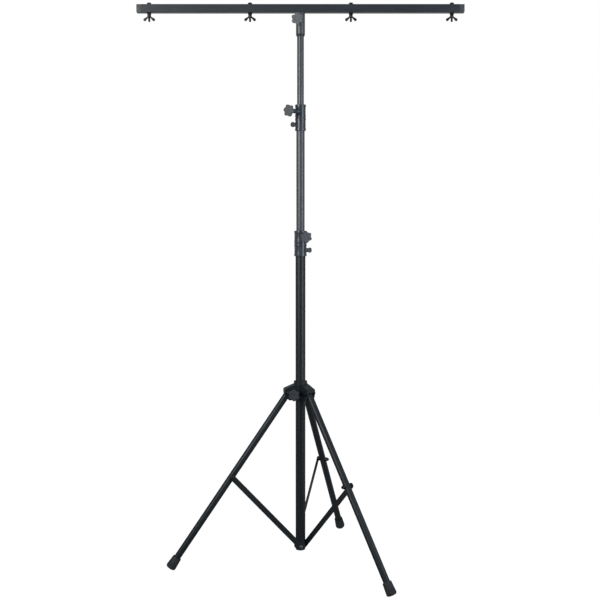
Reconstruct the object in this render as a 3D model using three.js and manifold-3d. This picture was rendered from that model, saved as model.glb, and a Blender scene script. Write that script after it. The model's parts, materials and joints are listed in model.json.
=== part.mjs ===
// A lighting stand: a telescoping mast on a folding tripod, with a crossbar for four lamps.
// Millimetres, +Z up, the floor at zero. The crossbar lies along X.

import * as THREE from "three";
import { mergeVertices } from "three/addons/utils/BufferGeometryUtils.js";
import Module from "manifold-3d";

const wasm = await Module();
wasm.setup();

// Clearance between pieces, and how far a cut runs past a face
const gap = 0.3;
const overrun = 10;

// Facets of round pieces
const tubeFacets = 24;
const bossFacets = 14;
const boltFacets = 10;
const arcSteps = 2;
const plateArcSteps = 6;
const hexSides = 6;

// Crossbar
const barLength = 1200;
const barWidth = 30;
const barWall = 1.5;
const barCorner = 2.5;
const endCapLength = 18;
const endCapCorner = 4.5;
const endCapSpigot = 16;
const boltFromEnd = 45;
const boltShares = [-1, -1 / 3, 1 / 3, 1];

// Bolts and nuts
const boltDiameter = 8;
const fixtureBoltLength = 62;
const hexAcross = 13;
const hexHeight = 5.3;
const washerDiameter = 17.5;
const washerHeight = 1.6;
const lockNutHeight = 10;
const boltTipShown = 2.5;
const domeDiameter = 15;
const domeHeight = 3;
const rivetDiameter = 14;

// Wing nuts
const wingHubTopDiameter = 15;
const wingHubLowDiameter = 11.5;
const wingHubHeight = 7.5;
const wingHeight = 18.8;
const wingSpan = 43;
const wingTipWidth = 10.5;
const wingThickness = 4;
const wingRootDrop = 1.5;
const wingTipAngle = (48 * Math.PI) / 180;

// Tee socket under the crossbar
const socketDiameter = 33;
const socketLength = 84.5;
const socketBushLength = 36;
const socketBushDiameter = 29;
const socketLipHeight = 8;
const socketLipDiameter = 29.5;
const teeKnobDrop = 29;
const teeBossReach = 26;
const teeKnobFace = 57;
const teeKnobAzimuth = (-103 * Math.PI) / 180;
const teeKnobTurn = (3 * Math.PI) / 180;

// Mast tubes
const tubeWall = 1.5;
const topTubeDiameter = 25;
const topTubeLength = 1000;
const topTubeShown = 381.5;
const middleTubeDiameter = 31;
const middleTubeLength = 1050;
const middleTubeShown = 465;
const lowerTubeDiameter = 37;
const lowerTubeLength = 1156.5;
const bushFlange = 5;
const bushSpigot = 22;
const bushBoreWall = 3;

// Upper collar, with its places measured from its lower end
const upperCollarLength = 95.5;
const upperCollarSeat = 46.5;
const upperCollarDiameter = 38.3;
const upperRimDiameter = 40;
const upperRimHeight = 9;
const upperBeadHeight = 7;
const upperBeadGroove = 5;
const upperKnobHeight = 70;
const upperPinHeight = 21.2;
const upperBossReach = 40;
const upperKnobFace = 69;
const upperKnobAzimuth = (-133 * Math.PI) / 180;
const upperKnobTurn = (16 * Math.PI) / 180;
const upperPinAzimuth = (-142 * Math.PI) / 180;

// Lower collar, with its places measured from its lower end
const lowerCollarLength = 94.5;
const lowerCollarSeat = 45;
const lowerCollarDiameter = 45;
const lowerRimDiameter = 46.6;
const lowerRimHeight = 9;
const lowerBeadHeight = 9;
const lowerBeadGroove = 4;
const lowerKnobHeight = 72.2;
const lowerPinHeight = 23.1;
const lowerBossReach = 30;
const lowerKnobFace = 61;
const lowerKnobAzimuth = (-68 * Math.PI) / 180;
const lowerKnobTurn = (7 * Math.PI) / 180;
const lowerPinAzimuth = (-30 * Math.PI) / 180;

// Lock pins
const pinDiameter = 6;
const pinBarrelDiameter = 15;
const pinBarrelLength = 11;
const pinCapDiameter = 19;
const pinCapLength = 9.5;
const pinCapChamfer = 1.5;

// Star knobs
const knobDiameter = 45;
const knobThickness = 13;
const knobHubDiameter = 17;
const knobScallop = 4.6;
const knobBevel = 2;
const knobFrontWall = 8;
const knobLobes = 6;
const knobPoints = 36;

// Legs and their braces
const legCount = 3;
const firstLegAzimuth = (-50 * Math.PI) / 180;
const legAngle = (34.6 * Math.PI) / 180;
const legPivotRadius = 47;
const legLength = 788.5;
const legDiameter = 25;
const legWall = 1.5;
const legTopRise = 11.5;
const braceOnLeg = 377.5;
const braceLength = 381.5;
const braceWidth = 21;
const braceThickness = 3;
const bracePivotRadius = 1;
const braceBossDiameter = 14;

// Feet
const footLength = 48.5;
const footTopDiameter = 33;
const footDiameter = 38;
const footEdge = 8;
const footEdgeSteps = 4;
const footSole = 8;
const footFlat = 1.5;

// Foot of the mast
const poleBelowPivot = 14.5;
const plugFlange = 5;
const plugChamfer = 2;
const plugSpigot = 40;

// Crown, with its heights measured from the leg pivots
const hubDiameter = 48;
const hubTop = 43.5;
const hubBottom = -29.5;
const neckDiameter = 50.6;
const neckHeight = 14;
const armWidth = 37.5;
const armSlot = 26;
const armEnd = 63;
const armWall = 3;
const armTopInner = 32;
const armTopOuter = 17;
const armCorner = 3;
const armCheekBottom = -27;
const armCheekReach = 46;
const armCheekCorner = -14;
const armWallBottom = 4;
const crownBossDiameter = 20;
const crownBossReach = 52;
const crownKnobFace = 75;
const crownKnobHeight = -1;
const crownKnobAzimuth = (-110 * Math.PI) / 180;
const crownKnobTurn = (2 * Math.PI) / 180;

// Sizes that follow from the ones above
const studHole = boltDiameter + 2 * gap;
const pinHole = pinDiameter + 2 * gap;
const topTubeBore = topTubeDiameter - 2 * tubeWall;
const middleTubeBore = middleTubeDiameter - 2 * tubeWall;
const lowerTubeBore = lowerTubeDiameter - 2 * tubeWall;
const strapInnerFace = lowerTubeDiameter / 2 + gap;
const strapMiddle = strapInnerFace + braceThickness / 2;
const strapHeadSeat = strapInnerFace + braceThickness + gap;

// The brace triangle: from the leg angle come the leg joint, the pivot at the mast and the heights
const footDrop = (footDiameter / 2 - footEdge) * Math.sin(legAngle) + footEdge * (1 - Math.cos(legAngle));
const legPivotHeight = legLength * Math.cos(legAngle) + footDrop - footFlat;
const braceJointRadius = legPivotRadius + braceOnLeg * Math.sin(legAngle);
const braceJointHeight = legPivotHeight - braceOnLeg * Math.cos(legAngle);
const braceAngle = Math.asin((braceJointRadius - bracePivotRadius) / braceLength);
const bracePivotHeight = braceJointHeight - braceLength * Math.cos(braceAngle);

// Heights up the mast
const poleFoot = bracePivotHeight - poleBelowPivot;
const lowerTubeFoot = poleFoot + plugFlange;
const lowerTubeTop = lowerTubeFoot + lowerTubeLength;
const middleTubeTop = lowerTubeTop + middleTubeShown;
const topTubeTop = middleTubeTop + topTubeShown;
const barUnderside = topTubeTop + gap;
const lowerCollarFoot = lowerTubeTop - lowerCollarSeat;
const upperCollarFoot = middleTubeTop - upperCollarSeat;

// Finishes
function finish(color, roughness, metalness) {
  return new THREE.MeshStandardMaterial({ color, roughness, metalness });
}

const paint = finish(0x2a2d31, 0.42, 0.35);
const crownPaint = finish(0x24272b, 0.5, 0.3);
const plastic = finish(0x3c3e42, 0.55, 0);
const rubber = finish(0x1c1d1f, 0.85, 0);
const zinc = finish(0xa9adb1, 0.32, 0.9);
const blackZinc = finish(0x2b2d30, 0.38, 0.8);
const nylon = finish(0x151618, 0.5, 0);

// Solids, and cutting and joining them
function solidOf(geometry) {
  const bare = geometry.clone();
  bare.deleteAttribute("normal");
  bare.deleteAttribute("uv");
  const merged = mergeVertices(bare);
  const vertProperties = merged.attributes.position.array;
  const triVerts = Uint32Array.from(merged.index.array);
  return new wasm.Manifold(new wasm.Mesh({ numProp: 3, vertProperties, triVerts }));
}

function geometryOf(solid) {
  const mesh = solid.getMesh();
  const geometry = new THREE.BufferGeometry();
  geometry.setAttribute("position", new THREE.BufferAttribute(Float32Array.from(mesh.vertProperties), 3));
  geometry.setIndex(new THREE.BufferAttribute(Uint32Array.from(mesh.triVerts), 1));
  const faceted = geometry.toNonIndexed();
  faceted.computeVertexNormals();
  return faceted;
}

function join(...geometries) {
  return geometryOf(geometries.map(solidOf).reduce((whole, next) => whole.add(next)));
}

function cut(geometry, ...tools) {
  return geometryOf(tools.map(solidOf).reduce((rest, tool) => rest.subtract(tool), solidOf(geometry)));
}

// Basic shapes: a rod and a hexagonal rod along Z, rods along X and Y, and a turned profile
function rod(diameter, from, to, facets = boltFacets) {
  const cylinder = new THREE.CylinderGeometry(diameter / 2, diameter / 2, to - from, facets);
  return cylinder.rotateX(Math.PI / 2).translate(0, 0, (from + to) / 2);
}

function taper(lowDiameter, highDiameter, from, to, facets = boltFacets) {
  const cylinder = new THREE.CylinderGeometry(highDiameter / 2, lowDiameter / 2, to - from, facets);
  return cylinder.rotateX(Math.PI / 2).translate(0, 0, (from + to) / 2);
}

function hexRod(across, from, to) {
  const corner = across / Math.sqrt(3);
  const prism = new THREE.CylinderGeometry(corner, corner, to - from, hexSides);
  return prism.rotateX(Math.PI / 2).translate(0, 0, (from + to) / 2);
}

function radialRod(diameter, from, to, facets = boltFacets) {
  return rod(diameter, from, to, facets).rotateY(Math.PI / 2);
}

function crossRod(diameter, from, to, facets = boltFacets) {
  return rod(diameter, from, to, facets).rotateX(-Math.PI / 2);
}

function turned(profile, facets = tubeFacets) {
  const points = profile.map(([radius, height]) => new THREE.Vector2(radius, height));
  if (points[0].x > 0) points.push(points[0].clone());
  return new THREE.LatheGeometry(points, facets).rotateX(Math.PI / 2);
}

function ring(outer, inner, from, to, facets = tubeFacets) {
  return turned([[inner / 2, from], [outer / 2, from], [outer / 2, to], [inner / 2, to]], facets);
}

// A shape drawn in X and Z, with its thickness across Y
function plate(shape, thickness, curveSegments = plateArcSteps) {
  const options = { depth: thickness, bevelEnabled: false, curveSegments };
  return new THREE.ExtrudeGeometry(shape, options).translate(0, 0, -thickness / 2).rotateX(Math.PI / 2);
}

function outline(points) {
  return new THREE.Shape(points.map(([x, y]) => new THREE.Vector2(x, y)));
}

function roundedSquare(width, corner) {
  const flat = width / 2 - corner;
  const shape = new THREE.Shape();
  shape.absarc(flat, flat, corner, 0, Math.PI / 2);
  shape.absarc(-flat, flat, corner, Math.PI / 2, Math.PI);
  shape.absarc(-flat, -flat, corner, Math.PI, 1.5 * Math.PI);
  shape.absarc(flat, -flat, corner, 1.5 * Math.PI, 2 * Math.PI);
  return shape;
}

// A square section along X
function squareRod(width, corner, from, to) {
  const options = { depth: to - from, bevelEnabled: false, curveSegments: arcSteps };
  const square = new THREE.ExtrudeGeometry(roundedSquare(width, corner), options);
  return square.translate(0, 0, from).rotateY(Math.PI / 2);
}

function piece(name, geometry, material) {
  const mesh = new THREE.Mesh(geometry, material.clone());
  mesh.name = name;
  return mesh;
}

// Fasteners: the head or flange stands above zero and the shank hangs below it
function hexBolt(length) {
  const flange = rod(washerDiameter, 0, washerHeight, bossFacets);
  const head = hexRod(hexAcross, 0, washerHeight + hexHeight);
  return join(flange, head, rod(boltDiameter, -length, washerHeight));
}

function lockNut() {
  const flange = taper(washerDiameter, hexAcross, 0, 2 * washerHeight, bossFacets);
  const body = join(flange, hexRod(hexAcross, 0, lockNutHeight));
  return cut(body, rod(studHole, -overrun, lockNutHeight + overrun));
}

function domedPin(headDiameter, length) {
  const profile = [[0, -length], [boltDiameter / 2, -length], [boltDiameter / 2, 0], [headDiameter / 2, 0]];
  for (let step = 1; step < arcSteps; step++) {
    const angle = (step / arcSteps) * (Math.PI / 2);
    profile.push([(headDiameter / 2) * Math.cos(angle), domeHeight * Math.sin(angle)]);
  }
  profile.push([0, domeHeight]);
  return turned(profile, boltFacets);
}

// A wing nut hangs below zero, with its wings along X
function wingShape() {
  const tipRadius = wingTipWidth / 2;
  const tipX = wingSpan / 2 - tipRadius;
  const tipZ = tipRadius - wingHeight;
  const root = wingHubLowDiameter / 4 + studHole / 4;
  const shape = new THREE.Shape();
  shape.moveTo(root, -wingHubHeight);
  shape.lineTo(root, -wingRootDrop);
  shape.absarc(tipX, tipZ, tipRadius, wingTipAngle, wingTipAngle - Math.PI, true);
  shape.closePath();
  return shape;
}

function wingNut() {
  const hub = taper(wingHubLowDiameter, wingHubTopDiameter, -wingHubHeight, 0, bossFacets);
  const wing = plate(wingShape(), wingThickness);
  const body = join(hub, wing, wing.clone().rotateZ(Math.PI));
  return cut(body, rod(studHole, -wingHubHeight - overrun, overrun));
}

// A star knob along +Z, from its hub at zero to its face
function starShape() {
  const points = [];
  for (let index = 0; index < knobPoints; index++) {
    const angle = (index / knobPoints) * 2 * Math.PI;
    const dip = (knobScallop * (1 - Math.cos(knobLobes * angle))) / 2;
    const radius = knobDiameter / 2 - knobBevel - dip;
    points.push([radius * Math.cos(angle), radius * Math.sin(angle)]);
  }
  return outline(points);
}

function starKnob(length) {
  const depth = knobThickness - 2 * knobBevel;
  const bevel = { bevelEnabled: true, bevelSegments: 1, bevelSize: knobBevel, bevelThickness: knobBevel };
  const body = new THREE.ExtrudeGeometry(starShape(), { depth, ...bevel });
  body.translate(0, 0, length - knobThickness + knobBevel);
  const hub = rod(knobHubDiameter, 0, length - knobBevel, bossFacets);
  return cut(join(body, hub), rod(studHole, -overrun, length - knobFrontWall));
}

// A clamp: a star knob and its stud on a ray from the mast axis
function clamp(name, azimuth, turn, height, reach, face, tip) {
  const group = new THREE.Group();
  group.position.z = height;
  group.rotation.z = azimuth;
  const knob = piece(`${name}_knob`, starKnob(face - reach - gap).rotateZ(turn), plastic);
  const stud = piece(`${name}_knob_stud`, rod(boltDiameter, tip + gap, face - knobFrontWall - gap), zinc);
  knob.position.x = reach + gap;
  knob.rotation.y = Math.PI / 2;
  stud.rotation.y = Math.PI / 2;
  return group.add(knob, stud);
}

// A lock pin: a shank on a ray from the mast axis, with a pull cap
function lockPin(name, azimuth, height, surface, tip) {
  const capFrom = surface + pinBarrelLength + gap;
  const capTo = capFrom + pinCapLength;
  const cap = pinCapDiameter / 2;
  const profile = [[0, tip + gap], [pinDiameter / 2, tip + gap], [pinDiameter / 2, capFrom], [cap, capFrom]];
  profile.push([cap, capTo - pinCapChamfer], [cap - pinCapChamfer, capTo], [0, capTo]);
  const group = new THREE.Group();
  group.position.z = height;
  group.rotation.z = azimuth;
  const pin = piece(name, turned(profile, bossFacets), zinc);
  pin.rotation.y = Math.PI / 2;
  return group.add(pin);
}

// A boss on a ray from the mast axis, and the hole through it
function boss(diameter, reach, azimuth, height) {
  return radialRod(diameter, 0, reach, bossFacets).rotateZ(azimuth).translate(0, 0, height);
}

function rayHole(diameter, reach, azimuth, height) {
  return radialRod(diameter, 0, reach + overrun).rotateZ(azimuth).translate(0, 0, height);
}

// Crossbar with its end caps
function crossbar() {
  const half = barLength / 2 - endCapLength;
  const outer = squareRod(barWidth, barCorner, -half, half);
  const bore = squareRod(barWidth - 2 * barWall, barCorner - barWall / 2, -half - overrun, half + overrun);
  const holes = boltPlaces().map((x) => rod(studHole, -barWidth, barWidth).translate(x, 0, 0));
  return cut(outer, bore, ...holes);
}

function endCap() {
  const spigot = barWidth - 2 * barWall - 2 * gap;
  const face = squareRod(barWidth, endCapCorner, 0, endCapLength);
  return join(face, squareRod(spigot, barCorner, -endCapSpigot, endCapLength / 2));
}

function boltPlaces() {
  const reach = barLength / 2 - boltFromEnd;
  return boltShares.map((share) => share * reach);
}

function crossbarGroup() {
  const group = new THREE.Group();
  group.position.z = barUnderside;
  const bar = piece("crossbar", crossbar(), paint);
  bar.position.z = barWidth / 2;
  const rightCap = piece("crossbar_end_cap_right", endCap(), plastic);
  rightCap.position.set(barLength / 2 - endCapLength, 0, barWidth / 2);
  const leftCap = piece("crossbar_end_cap_left", endCap(), plastic);
  leftCap.position.set(endCapLength - barLength / 2, 0, barWidth / 2);
  leftCap.rotation.z = Math.PI;
  return group.add(bar, rightCap, leftCap, ...boltPlaces().map(fixtureBolt));
}

function fixtureBolt(place, index) {
  const group = new THREE.Group();
  group.position.x = place;
  const bolt = piece(`fixture_bolt_${index + 1}`, hexBolt(fixtureBoltLength), blackZinc);
  bolt.position.z = barWidth;
  const nut = piece(`bolt_lock_nut_${index + 1}`, lockNut(), blackZinc);
  nut.rotation.x = Math.PI;
  nut.position.z = -gap;
  const wing = piece(`wing_nut_${index + 1}`, wingNut(), blackZinc);
  wing.position.z = -lockNutHeight - 2 * gap;
  return group.add(bolt, nut, wing);
}

// Tee socket with its bush and its clamp
function socket() {
  const radius = socketDiameter / 2;
  const bore = topTubeDiameter / 2 + gap;
  const seat = socketBushDiameter / 2;
  const foot = socketLipHeight - socketLength;
  const step = socketBushLength - socketLength + gap;
  const profile = [[seat, foot], [radius, foot], [radius, 0], [bore, 0], [bore, step], [seat, step]];
  const body = join(turned(profile), boss(knobHubDiameter, teeBossReach, teeKnobAzimuth, -teeKnobDrop));
  const through = rod(2 * bore, -socketLength, overrun, tubeFacets);
  return cut(body, through, rayHole(studHole, teeBossReach, teeKnobAzimuth, -teeKnobDrop));
}

function socketBush() {
  const bore = topTubeDiameter / 2 + gap;
  const sleeve = socketBushDiameter / 2 - gap;
  const top = socketBushLength - socketLength;
  const shoulder = socketLipHeight - socketLength;
  const lip = socketDiameter / 2;
  const foot = socketLipDiameter / 2;
  const profile = [[bore, -socketLength], [foot, -socketLength], [lip, shoulder], [sleeve, shoulder]];
  profile.push([sleeve, top], [bore, top]);
  return turned(profile);
}

function teeGroup() {
  const group = new THREE.Group();
  group.position.z = barUnderside;
  const tube = topTubeDiameter / 2;
  return group.add(
    piece("tee_socket", socket(), paint),
    piece("tee_socket_bush", socketBush(), nylon),
    clamp("tee", teeKnobAzimuth, teeKnobTurn, -teeKnobDrop, teeBossReach, teeKnobFace, tube),
  );
}

// Mast tubes with their bushes
function bush(outerBore, tubeBore, foot) {
  const flange = outerBore / 2 - gap;
  const spigot = tubeBore / 2 - gap;
  const bore = spigot - bushBoreWall;
  const seat = foot + bushFlange;
  const top = seat + bushSpigot;
  return turned([[bore, foot], [flange, foot], [flange, seat], [spigot, seat], [spigot, top], [bore, top]]);
}

function mastTubes() {
  const topFoot = topTubeTop - topTubeLength;
  const middleFoot = middleTubeTop - middleTubeLength;
  const pinAtMiddle = upperCollarFoot + upperPinHeight;
  const pinAtLower = lowerCollarFoot + lowerPinHeight;
  const top = ring(topTubeDiameter, topTubeBore, topFoot, topTubeTop);
  const middle = ring(middleTubeDiameter, middleTubeBore, middleFoot, middleTubeTop);
  const lower = ring(lowerTubeDiameter, lowerTubeBore, lowerTubeFoot, lowerTubeTop);
  const middlePinHole = rayHole(pinHole, middleTubeDiameter, upperPinAzimuth, pinAtMiddle);
  const lowerPinHole = rayHole(pinHole, lowerTubeDiameter, lowerPinAzimuth, pinAtLower);
  return new THREE.Group().add(
    piece("top_tube", top, paint),
    piece("top_tube_bush", bush(middleTubeBore, topTubeBore, topFoot - bushFlange), nylon),
    piece("middle_tube", cut(middle, middlePinHole), paint),
    piece("middle_tube_bush", bush(lowerTubeBore, middleTubeBore, middleFoot - bushFlange), nylon),
    piece("lower_tube", cut(lower, lowerPinHole), paint),
    piece("lower_tube_plug", plug(), nylon),
  );
}

function plug() {
  const flange = lowerTubeDiameter / 2;
  const spigot = lowerTubeBore / 2 - gap;
  const seat = lowerTubeFoot;
  const edge = poleFoot + plugChamfer;
  const profile = [[0, poleFoot], [flange - plugChamfer, poleFoot], [flange, edge], [flange, seat]];
  profile.push([spigot, seat], [spigot, seat + plugSpigot], [0, seat + plugSpigot]);
  return turned(profile);
}

// Collars: a stepped bore, a rim at each end and two beads round the middle
function collarProfile(length, seat, diameter, rim, rimHeight, bead, groove, outerTube, innerTube) {
  const body = diameter / 2;
  const edge = rim / 2;
  const low = outerTube / 2 + gap;
  const high = innerTube / 2 + gap;
  const middle = length / 2;
  const beadAt = groove / 2 + bead;
  return [
    [low, 0], [edge, 0], [edge, rimHeight], [body, rimHeight],
    [body, middle - beadAt], [edge, middle - beadAt],
    [edge, middle - groove / 2], [body, middle - groove / 2],
    [body, middle + groove / 2], [edge, middle + groove / 2],
    [edge, middle + beadAt], [body, middle + beadAt],
    [body, length - rimHeight], [edge, length - rimHeight], [edge, length], [high, length],
    [high, seat], [low, seat],
  ];
}

function collar(profile, bosses, boreHigh, boreLow, seat, length, holes) {
  const body = join(turned(profile), ...bosses);
  const high = rod(boreHigh, seat / 2, length + overrun, tubeFacets);
  const low = rod(boreLow, -overrun, seat, tubeFacets);
  return cut(body, high, low, ...holes);
}

function upperCollar() {
  const beads = [upperBeadHeight, upperBeadGroove];
  const rims = [upperCollarDiameter, upperRimDiameter, upperRimHeight];
  const tubes = [middleTubeDiameter, topTubeDiameter];
  const profile = collarProfile(upperCollarLength, upperCollarSeat, ...rims, ...beads, ...tubes);
  const barrel = upperRimDiameter / 2 + pinBarrelLength;
  const bosses = [
    boss(knobHubDiameter, upperBossReach, upperKnobAzimuth, upperKnobHeight),
    boss(pinBarrelDiameter, barrel, upperPinAzimuth, upperPinHeight),
  ];
  const holes = [
    rayHole(studHole, upperBossReach, upperKnobAzimuth, upperKnobHeight),
    rayHole(pinHole, barrel, upperPinAzimuth, upperPinHeight),
  ];
  const bores = [topTubeDiameter + 2 * gap, middleTubeDiameter + 2 * gap];
  return collar(profile, bosses, ...bores, upperCollarSeat, upperCollarLength, holes);
}

function lowerCollar() {
  const beads = [lowerBeadHeight, lowerBeadGroove];
  const rims = [lowerCollarDiameter, lowerRimDiameter, lowerRimHeight];
  const tubes = [lowerTubeDiameter, middleTubeDiameter];
  const profile = collarProfile(lowerCollarLength, lowerCollarSeat, ...rims, ...beads, ...tubes);
  const barrel = lowerRimDiameter / 2 + pinBarrelLength;
  const bosses = [
    boss(knobHubDiameter, lowerBossReach, lowerKnobAzimuth, lowerKnobHeight),
    boss(pinBarrelDiameter, barrel, lowerPinAzimuth, lowerPinHeight),
  ];
  const holes = [
    rayHole(studHole, lowerBossReach, lowerKnobAzimuth, lowerKnobHeight),
    rayHole(pinHole, barrel, lowerPinAzimuth, lowerPinHeight),
  ];
  const bores = [middleTubeDiameter + 2 * gap, lowerTubeDiameter + 2 * gap];
  return collar(profile, bosses, ...bores, lowerCollarSeat, lowerCollarLength, holes);
}

function upperCollarGroup() {
  const group = new THREE.Group();
  group.position.z = upperCollarFoot;
  const tube = topTubeDiameter / 2;
  const surface = upperRimDiameter / 2;
  return group.add(
    piece("upper_collar", upperCollar(), plastic),
    clamp("upper", upperKnobAzimuth, upperKnobTurn, upperKnobHeight, upperBossReach, upperKnobFace, tube),
    lockPin("upper_lock_pin", upperPinAzimuth, upperPinHeight, surface, tube),
  );
}

function lowerCollarGroup() {
  const group = new THREE.Group();
  group.position.z = lowerCollarFoot;
  const tube = middleTubeDiameter / 2;
  const surface = lowerRimDiameter / 2;
  return group.add(
    piece("lower_collar", lowerCollar(), plastic),
    clamp("lower", lowerKnobAzimuth, lowerKnobTurn, lowerKnobHeight, lowerBossReach, lowerKnobFace, tube),
    lockPin("lower_lock_pin", lowerPinAzimuth, lowerPinHeight, surface, tube),
  );
}

// Crown: a hub that slides on the lower tube, with a forked arm for each leg
function armOutline() {
  return outline([
    [hubDiameter / 4, armCheekBottom],
    [armCheekReach, armCheekBottom],
    [armEnd - armCorner, armCheekCorner],
    [armEnd, armWallBottom],
    [armEnd, armTopOuter - armCorner],
    [armEnd - armCorner, armTopOuter],
    [hubDiameter / 2, armTopInner],
    [hubDiameter / 4, armTopInner],
  ]);
}

function slotOutline() {
  const inside = armEnd - armWall;
  const slope = (armTopInner - armTopOuter) / (armEnd - armCorner - hubDiameter / 2);
  const drop = armWall * Math.hypot(1, slope);
  const roof = (radius) => armTopOuter + (armEnd - armCorner - radius) * slope - drop;
  return outline([
    [0, hubBottom - overrun],
    [armEnd + overrun, hubBottom - overrun],
    [armEnd + overrun, armWallBottom],
    [inside, armWallBottom],
    [inside, roof(inside)],
    [hubDiameter / 2, roof(hubDiameter / 2)],
    [0, roof(hubDiameter / 2)],
  ]);
}

function arm(azimuth) {
  const solid = plate(armOutline(), armWidth);
  const slot = plate(slotOutline(), armSlot);
  const hole = crossRod(studHole, -armWidth, armWidth).translate(legPivotRadius, 0, 0);
  return cut(solid, slot, hole).rotateZ(azimuth);
}

function crown() {
  const hub = rod(hubDiameter, hubBottom, hubTop, tubeFacets);
  const neck = rod(neckDiameter, hubTop - neckHeight, hubTop, tubeFacets);
  const knobBoss = boss(crownBossDiameter, crownBossReach, crownKnobAzimuth, crownKnobHeight);
  const body = join(hub, neck, knobBoss, ...legAzimuths().map(arm));
  const bore = rod(lowerTubeDiameter + 2 * gap, hubBottom - overrun, hubTop + overrun, tubeFacets);
  return cut(body, bore, rayHole(studHole, crownBossReach, crownKnobAzimuth, crownKnobHeight));
}

function legAzimuths() {
  return Array.from({ length: legCount }, (_, index) => firstLegAzimuth + (index * 2 * Math.PI) / legCount);
}

function crownGroup() {
  const group = new THREE.Group();
  group.position.z = legPivotHeight;
  const tube = lowerTubeDiameter / 2;
  const placed = [crownKnobAzimuth, crownKnobTurn, crownKnobHeight];
  const knob = clamp("crown", ...placed, crownBossReach, crownKnobFace, tube);
  return group.add(piece("crown", crown(), crownPaint), knob, ...legAzimuths().map(legPivot));
}

function legPivot(azimuth, index) {
  const group = new THREE.Group();
  group.rotation.z = azimuth;
  const seat = armWidth / 2 + gap;
  const length = 2 * seat + lockNutHeight + boltTipShown;
  const bolt = piece(`leg_${index + 1}_pivot_bolt`, hexBolt(length), blackZinc);
  bolt.position.set(legPivotRadius, -seat, 0);
  bolt.rotation.x = Math.PI / 2;
  const nut = piece(`leg_${index + 1}_pivot_nut`, lockNut(), blackZinc);
  nut.position.set(legPivotRadius, seat, 0);
  nut.rotation.x = -Math.PI / 2;
  return group.add(bolt, nut);
}

// Legs: the tube hangs from its pivot along -Z, with a boss for the brace on its +Y side
function legTube() {
  const foot = footSole + gap - legLength;
  const outer = rod(legDiameter, foot, legTopRise, tubeFacets);
  const bore = rod(legDiameter - 2 * legWall, foot - overrun, legTopRise + overrun, tubeFacets);
  const spacer = crossRod(braceBossDiameter, 0, strapInnerFace - gap, bossFacets);
  spacer.translate(0, 0, -braceOnLeg);
  const pivotHole = crossRod(studHole, -legDiameter, legDiameter);
  const braceHole = crossRod(studHole, -legDiameter, strapHeadSeat).translate(0, 0, -braceOnLeg);
  return cut(join(outer, spacer), bore, pivotHole, braceHole);
}

function foot() {
  const radius = footDiameter / 2;
  const sole = -legLength;
  const top = sole + footLength;
  const bore = legDiameter / 2 + gap;
  const profile = [[0, sole]];
  for (let step = 0; step <= footEdgeSteps; step++) {
    const angle = (step / footEdgeSteps) * (Math.PI / 2);
    profile.push([radius - footEdge * (1 - Math.sin(angle)), sole + footEdge * (1 - Math.cos(angle))]);
  }
  profile.push([footTopDiameter / 2, top], [bore, top], [bore, sole + footSole], [0, sole + footSole]);
  const ground = new THREE.BoxGeometry(2 * footDiameter, 2 * footDiameter, footDiameter);
  ground.translate(0, 0, -footDiameter / 2 - legPivotHeight).rotateY(legAngle);
  const across = legPivotHeight * Math.tan(legAngle);
  ground.translate(across * Math.cos(legAngle), 0, -across * Math.sin(legAngle));
  return cut(turned(profile), ground);
}

function braceStrap() {
  const radius = braceWidth / 2;
  const shape = new THREE.Shape();
  shape.absarc(0, 0, radius, 0, Math.PI);
  shape.absarc(0, -braceLength, radius, Math.PI, 2 * Math.PI);
  shape.closePath();
  for (const place of [0, -braceLength]) {
    const hole = new THREE.Path();
    hole.absarc(0, place, studHole / 2, 0, 2 * Math.PI, true);
    shape.holes.push(hole);
  }
  return plate(shape, braceThickness);
}

function legGroup(index) {
  const group = new THREE.Group();
  group.position.set(legPivotRadius, 0, legPivotHeight);
  group.rotation.y = -legAngle;
  const nutSeat = legDiameter / 2 + gap;
  const nutTip = nutSeat + lockNutHeight + boltTipShown;
  const bolt = piece(`leg_${index + 1}_brace_bolt`, domedPin(domeDiameter, strapHeadSeat + nutTip), blackZinc);
  bolt.position.set(0, strapHeadSeat, -braceOnLeg);
  bolt.rotation.x = -Math.PI / 2;
  const nut = piece(`leg_${index + 1}_brace_nut`, lockNut(), blackZinc);
  nut.position.set(0, -nutSeat, -braceOnLeg);
  nut.rotation.x = Math.PI / 2;
  const tube = piece(`leg_${index + 1}_tube`, legTube(), paint);
  return group.add(tube, piece(`leg_${index + 1}_foot`, foot(), rubber), bolt, nut);
}

function braceGroup(index) {
  const group = new THREE.Group();
  group.position.set(braceJointRadius, strapMiddle, braceJointHeight);
  group.rotation.y = braceAngle;
  const rivet = piece(`brace_${index + 1}_rivet`, domedPin(rivetDiameter, braceThickness + gap), zinc);
  rivet.position.set(0, strapHeadSeat - strapMiddle, -braceLength);
  rivet.rotation.x = -Math.PI / 2;
  return group.add(piece(`brace_${index + 1}`, braceStrap(), paint), rivet);
}

function tripodLeg(azimuth, index) {
  const group = new THREE.Group();
  group.rotation.z = azimuth;
  return group.add(legGroup(index), braceGroup(index));
}

// The whole stand, moved so that the middle of its bounding box stands over the origin
const stand = new THREE.Group();
stand.add(crossbarGroup(), teeGroup(), mastTubes(), upperCollarGroup(), lowerCollarGroup());
stand.add(crownGroup(), ...legAzimuths().map(tripodLeg));
stand.updateMatrixWorld(true);
const middle = new THREE.Box3().setFromObject(stand, true).getCenter(new THREE.Vector3());
stand.position.set(-middle.x, -middle.y, 0);

export default stand;
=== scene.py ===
"""Looks of the lighting stand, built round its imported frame. Metres, +Z up, the crossbar along X."""

import json
import math

import bmesh
import bpy
from mathutils import Matrix, Vector


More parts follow.
